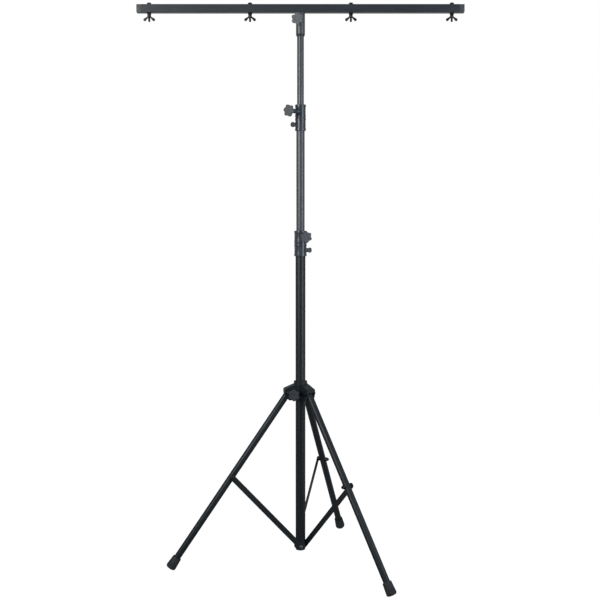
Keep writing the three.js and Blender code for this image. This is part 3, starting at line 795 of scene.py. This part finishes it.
# Crossbar
def square(width, corner):
    half = width / 2
    corners = [(-half, -half), (half, -half), (half, half), (-half, half)]
    return fillet(corners, corner, CORNER_STEPS)


def along_x(x, y, z):
    """A place whose Z points along X and whose Y points up."""
    return on_axes((x, y, z), (0, 1, 0), (0, 0, 1), (1, 0, 0))


def build_crossbar():
    half = BAR_END - CAP_LENGTH
    centre = (BAR_UNDERSIDE + BAR_TOP) / 2
    bar = prism("bar_tube", square(BAR_WIDTH, BAR_CORNER), -half, half)
    dress(bar, along_x(0, MAST_Y, centre), bar_paint, "black_paint", "tee_head", "crossbar")
    for side, word in ((1, "right"), (-1, "left")):
        place = along_x(side * half, MAST_Y, centre)
        if side < 0:
            place = place @ Matrix.Rotation(math.pi, 4, "Y")
        cap = end_cap(f"bar_cap_{word}")
        dress(cap, place, cap_plastic, "collar_plastic", "tee_head", f"crossbar_end_cap_{word}")


def end_cap(name):
    """A square cap with rounded edges, and a shallow step where it meets the tube."""
    step = CAP_EDGE / 4
    rows = [(step, 0), (step, step), (0, 2 * step), (0, CAP_LENGTH - CAP_EDGE)]
    for index in range(1, ARC_STEPS + 1):
        angle = index / ARC_STEPS * math.pi / 2
        rows.append((CAP_EDGE * (1 - math.cos(angle)), CAP_LENGTH - CAP_EDGE * (1 - math.sin(angle))))
    outline = [[(x, y, z) for x, y in square(BAR_WIDTH - 2 * inset, CAP_CORNER - inset)] for inset, z in rows]
    return loft(name, outline)


# Clamps: star knobs with their studs
def star(radius, angle):
    dip = KNOB_SCALLOP * (1 - math.cos(KNOB_LOBES * angle)) / 2
    return radius * (1 - dip / KNOB_RADIUS)


def star_knob(name, length):
    """A star knob with a flared hub from zero up to its lobes, and a dished face."""
    back = length - KNOB_THICKNESS
    dish = KNOB_DISH_RADIUS
    low = length - KNOB_DISH_DEPTH
    profile = [(0, back), (KNOB_RADIUS, back), (KNOB_RADIUS, length)]
    profile += [(dish, length), (dish - KNOB_DISH_DEPTH, low), (0, low)]
    knob = revolve(name, fillet(profile, KNOB_EDGE, KNOB_STEPS, closed=False), STAR_STEPS, star)
    flare = KNOB_HUB_RADIUS + KNOB_FLARE
    root = back + GAP
    hub = [(0, 0), (KNOB_HUB_RADIUS, 0), (KNOB_HUB_RADIUS, back - KNOB_FLARE), (flare, root), (0, root)]
    return join(knob, turned("hub", hub, KNOB_FLARE, SMALL_STEPS))


def build_clamp(word, reach, face, turn, finish=None):
    joint = joints[f"{word}_clamp_turn"]
    axis = Matrix.Translation((0, 0, reach + GAP)) @ Matrix.Rotation(turn, 4, "Z")
    place = ray_place(joint_azimuth(f"{word}_clamp_turn"), joint["pos_m"][2]) @ axis
    knob = star_knob(f"{word}_star_knob", face - reach - GAP)
    dress(knob, place, finish or knob_plastic, "knob_plastic", f"{word}_clamp", f"{word}_knob")
    paint_solid(f"{word}_knob_stud", zinc)


def ray_boss(radius, start, reach, flare=BOSS_FLARE):
    """A boss along Z with a flared root and a rounded mouth round the hole in it."""
    seat = BOLT_RADIUS + GAP
    profile = [(seat, start - flare), (radius + flare, start - flare), (radius + flare / 2, start)]
    profile += [(radius, start + flare), (radius, reach), (seat, reach)]
    return turned("boss", profile, BOSS_EDGE, SMALL_STEPS)


def joint_azimuth(name):
    axis = joints[name]["axis"]
    return math.atan2(axis[1], axis[0])


# Collars
def collar_profile(length, seat, body, rim, rim_height, bead, groove, low_bore, high_bore):
    centre = length / 2
    far = groove / 2 + bead
    return [
        (low_bore, 0), (rim, 0), (rim, rim_height), (body, rim_height),
        (body, centre - far), (rim, centre - far), (rim, centre - groove / 2), (body, centre - groove / 2),
        (body, centre + groove / 2), (rim, centre + groove / 2), (rim, centre + far), (body, centre + far),
        (body, length - rim_height), (rim, length - rim_height), (rim, length), (high_bore, length),
        (high_bore, seat), (low_bore, seat),
    ]


def build_collar(word, body, foot, profile, rim, boss_reach, pin_height, pin_azimuth):
    collar = turned(f"{word}_collar_body", profile, COLLAR_EDGE)
    knob_height = joints[f"{word}_clamp_turn"]["pos_m"][2] - foot
    boss = ray_boss(BOSS_RADIUS, rim, boss_reach)
    boss.matrix_world = ray_place(joint_azimuth(f"{word}_clamp_turn"), knob_height)
    barrel = ray_boss(PIN_BARREL_RADIUS, rim, rim + PIN_BARREL_LENGTH, BOSS_FLARE / 2)
    barrel.matrix_world = ray_place(pin_azimuth, pin_height)
    collar.matrix_world = on_mast(0)
    join(collar, boss, barrel)
    dress(collar, on_mast(foot), collar_plastic, "collar_plastic", body, f"{word}_collar")
    build_lock_pin(word, rim, ray_place(pin_azimuth, foot + pin_height))


def knurl(radius, angle):
    if radius < PIN_CAP_RADIUS - GAP:
        return radius
    return radius - PIN_KNURL * (1 + math.cos(PIN_KNURLS * angle)) / 2


def build_lock_pin(word, surface, place):
    """A shank with a rounded pull cap, knurled round its middle."""
    start = surface + PIN_BARREL_LENGTH + GAP
    end = start + PIN_CAP_LENGTH
    profile = [(0, start), (PIN_CAP_RADIUS, start), (PIN_CAP_RADIUS, end), (0, end)]
    rounded = fillet(profile, PIN_CAP_EDGE, KNOB_STEPS, closed=False)
    cap = revolve(f"{word}_pin_cap", rounded, STAR_STEPS, knurl)
    shank = [(0, surface), (PIN_RADIUS, surface), (PIN_RADIUS, start + GAP), (0, start + GAP)]
    join(cap, turned("shank", shank, GAP, SMALL_STEPS))
    dress(cap, place, cap_plastic, "knob_plastic", f"{word}_pin", f"{word}_lock_pin")


def build_collars():
    beads = (UPPER_BEAD, UPPER_GROOVE)
    bores = (MIDDLE_RADIUS + GAP, TOP_RADIUS + GAP)
    rims = (UPPER_BODY_RADIUS, UPPER_RIM_RADIUS, UPPER_RIM_HEIGHT)
    profile = collar_profile(UPPER_TOP - UPPER_FOOT, UPPER_SEAT, *rims, *beads, *bores)
    pin = (UPPER_PIN_HEIGHT, UPPER_PIN_AZIMUTH)
    build_collar("upper", "middle_mast", UPPER_FOOT, profile, UPPER_RIM_RADIUS, UPPER_BOSS_REACH, *pin)
    beads = (LOWER_BEAD, LOWER_GROOVE)
    bores = (LOWER_RADIUS + GAP, MIDDLE_RADIUS + GAP)
    rims = (LOWER_BODY_RADIUS, LOWER_RIM_RADIUS, LOWER_RIM_HEIGHT)
    profile = collar_profile(LOWER_TOP - LOWER_FOOT, LOWER_SEAT, *rims, *beads, *bores)
    pin = (LOWER_PIN_HEIGHT, LOWER_PIN_AZIMUTH)
    build_collar("lower", "lower_mast", LOWER_FOOT, profile, LOWER_RIM_RADIUS, LOWER_BOSS_REACH, *pin)


# Mast tubes, the tee socket and the foot of the mast
def build_mast():
    tubes = (("top", TOP_RADIUS, tube_paint), ("middle", MIDDLE_RADIUS, tube_paint))
    # The lower tube takes a darker copy of the tube paint: painted shade
    for word, radius, finish in (*tubes, ("lower", LOWER_RADIUS, lower_mast_shaded_paint)):
        low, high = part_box(f"{word}_tube")
        piece = tube(f"mast_{word}", radius, radius - TUBE_WALL, 0, high.z - low.z)
        dress(piece, on_mast(low.z), finish, "black_paint", f"{word}_mast", f"{word}_tube")
    paint_solid("top_tube_bush", nylon)
    paint_solid("middle_tube_bush", nylon)
    sole = LOWER_RADIUS - PLUG_EDGE
    plug = [(0, 0), (sole, 0), (LOWER_RADIUS, PLUG_EDGE), (LOWER_RADIUS, PLUG_FLANGE), (0, PLUG_FLANGE)]
    piece = turned("mast_foot_plug", plug, NYLON_EDGE)
    dress(piece, on_mast(POLE_FOOT), nylon, "nylon", "lower_mast", "lower_tube_plug")


def build_tee():
    bore = TOP_RADIUS + GAP
    foot = SOCKET_LIP_HEIGHT - SOCKET_LENGTH
    profile = [(bore, foot), (SOCKET_RADIUS, foot), (SOCKET_RADIUS, 0), (bore, 0)]
    socket = turned("tee_socket_tube", profile, SOCKET_EDGE)
    drop = joints["tee_clamp_turn"]["pos_m"][2] - BAR_UNDERSIDE
    boss = ray_boss(BOSS_RADIUS, SOCKET_RADIUS, TEE_BOSS_REACH)
    boss.matrix_world = ray_place(joint_azimuth("tee_clamp_turn"), drop)
    socket.matrix_world = on_mast(0)
    join(socket, boss, weld_bead())
    dress(socket, on_mast(BAR_UNDERSIDE), tube_paint, "black_paint", "tee_head", "tee_socket")
    top = foot - GAP
    lip = [(bore, -SOCKET_LENGTH), (SOCKET_LIP_RADIUS, -SOCKET_LENGTH), (SOCKET_RADIUS, top), (bore, top)]
    bush = turned("tee_bush_lip", lip, NYLON_EDGE)
    dress(bush, on_mast(BAR_UNDERSIDE), nylon, "nylon", "tee_bush", "tee_socket_bush")


def weld_bead():
    """The painted weld between the socket and the crossbar, with the ripple of its passes."""
    rows = []
    count = ROUND_STEPS * WELD_RIPPLE_STEPS
    inner = SOCKET_RADIUS - GAP
    for index in range(count):
        angle = 2 * math.pi * index / count
        swell = WELD_SIZE * (1 + WELD_RIPPLE_SHARE * math.sin(WELD_RIPPLES * angle))
        section = [(inner, 0)]
        for step in range(ARC_STEPS + 1):
            turn = math.pi + step / ARC_STEPS * math.pi / 2
            section.append((inner + swell * (1 + math.cos(turn)), -swell * (1 + math.sin(turn))))
        rows.append([(reach * math.cos(angle), reach * math.sin(angle), z) for reach, z in section])
    bead = loft("weld", rows, wrap=True)
    bead.matrix_world = on_mast(0)
    return bead


# Crown
def arm_outline():
    corners = [
        (HUB_RADIUS / 2, ARM_CHEEK_BOTTOM),
        (ARM_CHEEK_REACH, ARM_CHEEK_BOTTOM),
        (ARM_END - ARM_CORNER, ARM_CHEEK_CORNER),
        (ARM_END, ARM_WALL_BOTTOM),
        (ARM_END, ARM_TOP_OUTER - ARM_CORNER),
        (ARM_END - ARM_CORNER, ARM_TOP_OUTER),
        (HUB_RADIUS, ARM_TOP_INNER),
        (HUB_RADIUS / 2, ARM_TOP_INNER),
    ]
    return fillet(corners, ARM_ROUND)


def slot_outline():
    inside = ARM_END - ARM_WALL
    slope = (ARM_TOP_INNER - ARM_TOP_OUTER) / (ARM_END - ARM_CORNER - HUB_RADIUS)
    drop = ARM_WALL * math.hypot(1, slope)

    def roof(radius):
        return ARM_TOP_OUTER + (ARM_END - ARM_CORNER - radius) * slope - drop

    low = HUB_BOTTOM - OVERRUN
    far = ARM_END + OVERRUN
    return [
        (0, low), (far, low), (far, ARM_WALL_BOTTOM), (inside, ARM_WALL_BOTTOM),
        (inside, roof(inside)), (HUB_RADIUS, roof(HUB_RADIUS)), (0, roof(HUB_RADIUS)),
    ]


def side_plate(name, outline, thickness, azimuth):
    """An outline of radius and height, with its thickness across the ray at the azimuth."""
    turn = Matrix.Rotation(azimuth, 4, "Z")
    rows = [[turn @ Vector((r, y, z)) for r, z in outline] for y in (-thickness / 2, thickness / 2)]
    return loft(name, rows)


def crown_arm(azimuth):
    arm = side_plate("arm", arm_outline(), ARM_WIDTH, azimuth)
    return carve(arm, "DIFFERENCE", side_plate("slot", slot_outline(), ARM_SLOT, azimuth))


def solid_rod(name, radius, low, high):
    return revolve(name, [(0, low), (radius, low), (radius, high), (0, high)])


def build_crown():
    crown = solid_rod("crown_casting", HUB_RADIUS, HUB_BOTTOM, HUB_TOP)
    neck = solid_rod("neck", NECK_RADIUS, HUB_TOP - NECK_HEIGHT, HUB_TOP)
    arms = [crown_arm(leg_azimuth(number)) for number in (1, 2, 3)]
    carve(crown, "UNION", neck, *arms)
    bore = solid_rod("bore", LOWER_RADIUS + GAP, HUB_BOTTOM - OVERRUN, HUB_TOP + OVERRUN)
    carve(crown, "DIFFERENCE", bore)
    bevel(crown, CROWN_EDGE)
    dress(crown, on_mast(PIVOT_HEIGHT), crown_paint, "crown_paint", "tripod_crown", "crown")
    boss = ray_boss(CROWN_BOSS_RADIUS, HUB_RADIUS, CROWN_BOSS_REACH)
    boss.name = "crown_clamp_boss"
    place = ray_place(joint_azimuth("crown_clamp_turn"), joints["crown_clamp_turn"]["pos_m"][2])
    dress(boss, place, crown_paint, "crown_paint", "tripod_crown")
    for number in (1, 2, 3):
        build_leg_pivot(number)


def build_leg_pivot(number):
    pivot = Vector(joints[f"leg_{number}_fold"]["pos_m"])
    tangent = Vector(joints[f"leg_{number}_fold"]["axis"])
    seat = ARM_WIDTH / 2 + GAP
    length = 2 * seat + LOCK_NUT_HEIGHT + BOLT_TIP
    bolt = hex_bolt(f"leg_{number}_hinge_bolt", length, BOLT_TIP + GAP)
    place = facing(pivot - tangent * seat, -tangent)
    dress(bolt, place, black_zinc, "black_zinc", "tripod_crown", f"leg_{number}_pivot_bolt")
    nut = lock_nut(f"leg_{number}_hinge_nut")
    place = facing(pivot + tangent * seat, tangent)
    dress(nut, place, black_zinc, "black_zinc", "tripod_crown", f"leg_{number}_pivot_nut")


# Legs, feet and braces
def leg_azimuth(number):
    axis = joints[f"leg_{number}_fold"]["axis"]
    return math.atan2(-axis[0], axis[1])


def leg_place(number):
    """The leg's own frame: its pivot, Y across it towards its brace and Z up along it."""
    pivot = joints[f"leg_{number}_fold"]["pos_m"]
    tangent = Vector(joints[f"leg_{number}_fold"]["axis"]).normalized()
    outward = tangent.cross(UP)
    along = UP * math.cos(LEG_ANGLE) - outward * math.sin(LEG_ANGLE)
    return on_axes(pivot, tangent.cross(along), tangent, along)


def build_leg(number):
    """A leg with the spacer that reaches out to its brace, which lies beside the mast's tube."""
    body = f"leg_{number}"
    place = leg_place(number)
    foot = FOOT_SOLE + GAP - LEG_LENGTH
    leg = tube(f"{body}_pole", LEG_RADIUS, LEG_RADIUS - LEG_WALL, foot, LEG_TOP_RISE)
    spacer = ray_boss(SPACER_RADIUS, LEG_RADIUS - GAP, LOWER_RADIUS, BOSS_FLARE / 3)
    spacer.matrix_world = facing((0, 0, -BRACE_ON_LEG), (0, 1, 0))
    join(leg, spacer)
    dress(leg, place, leg_paint, "black_paint", body, f"{body}_tube")
    build_foot(number, place)
    build_brace_bolt(body, place)


def build_brace_bolt(body, place):
    """The bolt that holds a brace to the spacer of its leg, and the nut on the leg's other side."""
    head_seat = LOWER_RADIUS + BRACE_THICKNESS + 2 * GAP
    nut_seat = LEG_RADIUS + GAP
    across = Vector(place.col[1][:3])
    joint = place @ Vector((0, 0, -BRACE_ON_LEG))
    length = head_seat + nut_seat + LOCK_NUT_HEIGHT + BOLT_TIP
    bolt = domed_pin(f"{body}_brace_pin", DOME_RADIUS, length)
    head = facing(joint + across * head_seat, across)
    dress(bolt, head, black_zinc, "black_zinc", body, f"{body}_brace_bolt")
    nut = lock_nut(f"{body}_brace_lock_nut")
    back = facing(joint - across * nut_seat, -across)
    dress(nut, back, black_zinc, "black_zinc", body, f"{body}_brace_nut")


def foot_profile():
    """A rubber foot with a rounded mouth, a few grooves above its sole and a round edge."""
    sole = -LEG_LENGTH
    top = sole + FOOT_LENGTH
    bore = LEG_RADIUS + GAP / 2
    profile = [(0, sole), (FOOT_RADIUS - FOOT_EDGE, sole)]
    for step in range(1, FOOT_EDGE_STEPS + 1):
        angle = step / FOOT_EDGE_STEPS * math.pi / 2
        reach = FOOT_RADIUS - FOOT_EDGE * (1 - math.sin(angle))
        profile.append((reach, sole + FOOT_EDGE * (1 - math.cos(angle))))
    for index in range(1, FOOT_GROOVES + 1):
        height = sole + FOOT_EDGE + index * FOOT_GROOVE_PITCH
        for offset, depth in FOOT_GROOVE_SHARES:
            place = height + offset * FOOT_GROOVE
            profile.append((foot_radius(place - sole) - depth * FOOT_GROOVE, place))
    for step in range(ARC_STEPS + 1):
        angle = step / ARC_STEPS * math.pi / 2
        reach = FOOT_TOP_RADIUS - FOOT_LIP * (1 - math.cos(angle))
        profile.append((reach, top - FOOT_LIP * (1 - math.sin(angle))))
    profile += [(bore, top), (bore, sole + FOOT_SOLE), (0, sole + FOOT_SOLE)]
    return profile


def foot_radius(height):
    share = (height - FOOT_EDGE) / (FOOT_LENGTH - FOOT_EDGE)
    return FOOT_RADIUS + (FOOT_TOP_RADIUS - FOOT_RADIUS) * share


def build_foot(number, place):
    foot = revolve(f"leg_{number}_rubber_foot", foot_profile())
    to_leg = place.inverted()
    mesh = bmesh.new()
    mesh.from_mesh(foot.data)
    normal = (to_leg.to_3x3() @ UP).normalized()
    everything = mesh.verts[:] + mesh.edges[:] + mesh.faces[:]
    point = to_leg @ Vector((0, 0, 0))
    cut = bmesh.ops.bisect_plane(mesh, geom=everything, plane_co=point, plane_no=normal, clear_inner=True)
    rim = [part for part in cut["geom_cut"] if isinstance(part, bmesh.types.BMEdge)]
    bmesh.ops.contextual_create(mesh, geom=rim)
    mesh.to_mesh(foot.data)
    mesh.free()
    soften(foot)
    dress(foot, place, foot_rubber, "rubber", f"leg_{number}", f"leg_{number}_foot")


def brace_outline():
    """A strap with round ends, from its joint on the leg down to its foot."""
    radius = BRACE_WIDTH / 2
    points = []
    for centre, start in ((0, 0), (-BRACE_LENGTH, math.pi)):
        for step in range(BRACE_END_STEPS + 1):
            angle = start + math.pi * step / BRACE_END_STEPS
            points.append((radius * math.cos(angle), centre + radius * math.sin(angle)))
    return points


def build_brace(number):
    body = f"brace_{number}"
    joint = Vector(joints[f"{body}_fold"]["pos_m"])
    tangent = Vector(joints[f"leg_{number}_fold"]["axis"]).normalized()
    outward = tangent.cross(UP)
    reach = (joint - Vector((0, MAST_Y, 0))).dot(outward) - BRACE_FOOT_RADIUS
    lean = math.asin(reach / BRACE_LENGTH)
    along = UP * math.cos(lean) + outward * math.sin(lean)
    place = on_axes(joint, tangent.cross(along), tangent, along)
    rows = [[(x, y, z) for x, z in brace_outline()] for y in (-BRACE_THICKNESS / 2, BRACE_THICKNESS / 2)]
    strap = bevel(loft(f"{body}_strap", rows), BRACE_EDGE)
    dress(strap, place, leg_paint, "black_paint", body, body)
    head_seat = BRACE_THICKNESS / 2 + GAP
    rivet = domed_pin(f"{body}_foot_rivet", RIVET_RADIUS, BRACE_THICKNESS + GAP)
    head = place @ Vector((0, head_seat, -BRACE_LENGTH))
    dress(rivet, facing(head, tangent), zinc, "zinc", body, f"{body}_rivet")


# Camera, floor and light
def build_camera():
    camera = bpy.data.cameras.new("camera")
    camera.sensor_fit = "HORIZONTAL"
    camera.sensor_width = CAMERA_SENSOR
    camera.lens = CAMERA_LENS
    camera.shift_x = CAMERA_SHIFT
    camera.clip_end = CAMERA_REACH
    holder = bpy.data.objects.new("camera", camera)
    holder.location = (0, MAST_Y - CAMERA_DISTANCE, CAMERA_HEIGHT)
    holder.rotation_euler = (math.pi / 2 - CAMERA_PITCH, 0, 0)
    bpy.context.scene.collection.objects.link(holder)
    bpy.context.scene.camera = holder


def brightest(tree, *outputs):
    """The largest of some values, two at a time."""
    value = outputs[0]
    for other in outputs[1:]:
        node = tree.nodes.new("ShaderNodeMath")
        node.operation = "MAXIMUM"
        tree.links.new(value, node.inputs[0])
        tree.links.new(other, node.inputs[1])
        value = node.outputs["Value"]
    return value


def product(tree, first, second, share=1):
    """The first value times the second one, or times a fixed share."""
    node = tree.nodes.new("ShaderNodeMath")
    node.operation = "MULTIPLY"
    node.inputs[1].default_value = share
    tree.links.new(first, node.inputs[0])
    if second:
        tree.links.new(second, node.inputs[1])
    return node.outputs["Value"]


def build_floor():
    """A wide floor of pale paper. Seen directly or mirrored, it glows up to white."""
    made, tree, shader = material("floor_paper")
    paper = blend(tree, noise(tree, FLOOR_CLOUDS), FLOOR_DARK, FLOOR_LIGHT)
    tree.links.new(paper, shader.inputs["Base Color"])
    shader.inputs["Roughness"].default_value = FLOOR_ROUGHNESS
    glow = tree.nodes.new("ShaderNodeEmission")
    glow.inputs["Color"].default_value = WHITE
    path = tree.nodes.new("ShaderNodeLightPath")
    place = tree.nodes.new("ShaderNodeTexCoord")
    split = tree.nodes.new("ShaderNodeSeparateXYZ")
    tree.links.new(place.outputs["Object"], split.inputs["Vector"])
    behind = spread(tree, split.outputs["Y"], FRONT_LIGHT, BACK_LIGHT, *FLOOR_FRONT_TO_BACK)
    mirrored = product(tree, path.outputs["Is Glossy Ray"], behind)
    seen = brightest(tree, path.outputs["Is Camera Ray"], path.outputs["Is Transmission Ray"])
    tree.links.new(product(tree, brightest(tree, seen, mirrored), None, FLOOR_GLOW), glow.inputs["Strength"])
    share = product(tree, brightest(tree, seen, path.outputs["Is Glossy Ray"]), None, FLOOR_GLOW_SHARE)
    mix = tree.nodes.new("ShaderNodeMixShader")
    tree.links.new(share, mix.inputs["Fac"])
    tree.links.new(shader.outputs["BSDF"], mix.inputs[1])
    tree.links.new(glow.outputs["Emission"], mix.inputs[2])
    tree.links.new(mix.outputs["Shader"], tree.nodes["Material Output"].inputs["Surface"])
    corners = [(-FLOOR_REACH, -FLOOR_REACH, 0), (FLOOR_REACH, -FLOOR_REACH, 0)]
    corners += [(FLOOR_REACH, FLOOR_REACH, 0), (-FLOOR_REACH, FLOOR_REACH, 0)]
    mesh = bpy.data.meshes.new("floor")
    mesh.from_pydata(corners, [], [(0, 1, 2, 3)])
    floor = bpy.data.objects.new("floor", mesh)
    floor.data.materials.append(made)
    bpy.context.scene.collection.objects.link(floor)


def backdrop_light(tree):
    """The studio as polished things mirror it: bright behind the stand, dim in front of it."""
    place = tree.nodes.new("ShaderNodeTexCoord")
    split = tree.nodes.new("ShaderNodeSeparateXYZ")
    tree.links.new(place.outputs["Generated"], split.inputs["Vector"])
    behind = spread(tree, split.outputs["Y"], FRONT_LIGHT, BACK_LIGHT, *FRONT_TO_BACK)
    above = spread(tree, split.outputs["Z"], FRONT_LIGHT, TOP_LIGHT, *LEVEL_TO_TOP)
    return brightest(tree, behind, above)


def build_world():
    """White where it is seen, a graded studio where it is mirrored, a dim room for the rest."""
    world = bpy.data.worlds.new("studio")
    world.use_nodes = True
    bpy.context.scene.world = world
    tree = world.node_tree
    room = tree.nodes["Background"]
    room.inputs["Color"].default_value = (*ROOM_COLOUR, 1)
    room.inputs["Strength"].default_value = ROOM_LIGHT
    mirrored = tree.nodes.new("ShaderNodeBackground")
    mirrored.inputs["Color"].default_value = (*MIRROR_COLOUR, 1)
    tree.links.new(backdrop_light(tree), mirrored.inputs["Strength"])
    white = tree.nodes.new("ShaderNodeBackground")
    white.inputs["Color"].default_value = WHITE
    path = tree.nodes.new("ShaderNodeLightPath")
    glossy = tree.nodes.new("ShaderNodeMixShader")
    tree.links.new(path.outputs["Is Glossy Ray"], glossy.inputs["Fac"])
    tree.links.new(room.outputs["Background"], glossy.inputs[1])
    tree.links.new(mirrored.outputs["Background"], glossy.inputs[2])
    mix = tree.nodes.new("ShaderNodeMixShader")
    seen = brightest(tree, path.outputs["Is Camera Ray"], path.outputs["Is Transmission Ray"])
    tree.links.new(seen, mix.inputs["Fac"])
    tree.links.new(glossy.outputs["Shader"], mix.inputs[1])
    tree.links.new(white.outputs["Background"], mix.inputs[2])
    tree.links.new(mix.outputs["Shader"], tree.nodes["World Output"].inputs["Surface"])


def add_lamp(name, place, target, size, power, colour):
    lamp = bpy.data.lights.new(name, "AREA")
    lamp.shape = "RECTANGLE"
    lamp.size, lamp.size_y = size
    lamp.energy = power
    lamp.color = colour
    holder = bpy.data.objects.new(name, lamp)
    holder.location = place
    aim = Vector(target) - Vector(place)
    holder.rotation_euler = aim.to_track_quat("-Z", "Y").to_euler()
    bpy.context.scene.collection.objects.link(holder)


def build_lamps():
    add_lamp("key", KEY_PLACE, KEY_TARGET, KEY_SIZE, KEY_POWER, KEY_COLOUR)
    add_lamp("fill", FILL_PLACE, FILL_TARGET, FILL_SIZE, FILL_POWER, FILL_COLOUR)


build_camera()
build_crossbar()
for bolt_number in (1, 2, 3, 4):
    build_fixture_bolt(bolt_number)
build_mast()
build_collars()
build_tee()
build_clamp("tee", TEE_BOSS_REACH, TEE_KNOB_FACE, TEE_KNOB_TURN)
build_clamp("upper", UPPER_BOSS_REACH, UPPER_KNOB_FACE, UPPER_KNOB_TURN)
# The lower and crown knobs get darker copies of the knob plastic: painted shade
build_clamp("lower", LOWER_BOSS_REACH, LOWER_KNOB_FACE, LOWER_KNOB_TURN, lower_knob_shaded_plastic)
build_clamp("crown", CROWN_BOSS_REACH, CROWN_KNOB_FACE, CROWN_KNOB_TURN, crown_knob_shaded_plastic)
build_crown()
for leg_number in (1, 2, 3):
    build_leg(leg_number)
    build_brace(leg_number)
build_floor()
build_world()
build_lamps()

bpy.context.scene.view_settings.view_transform = "Standard"
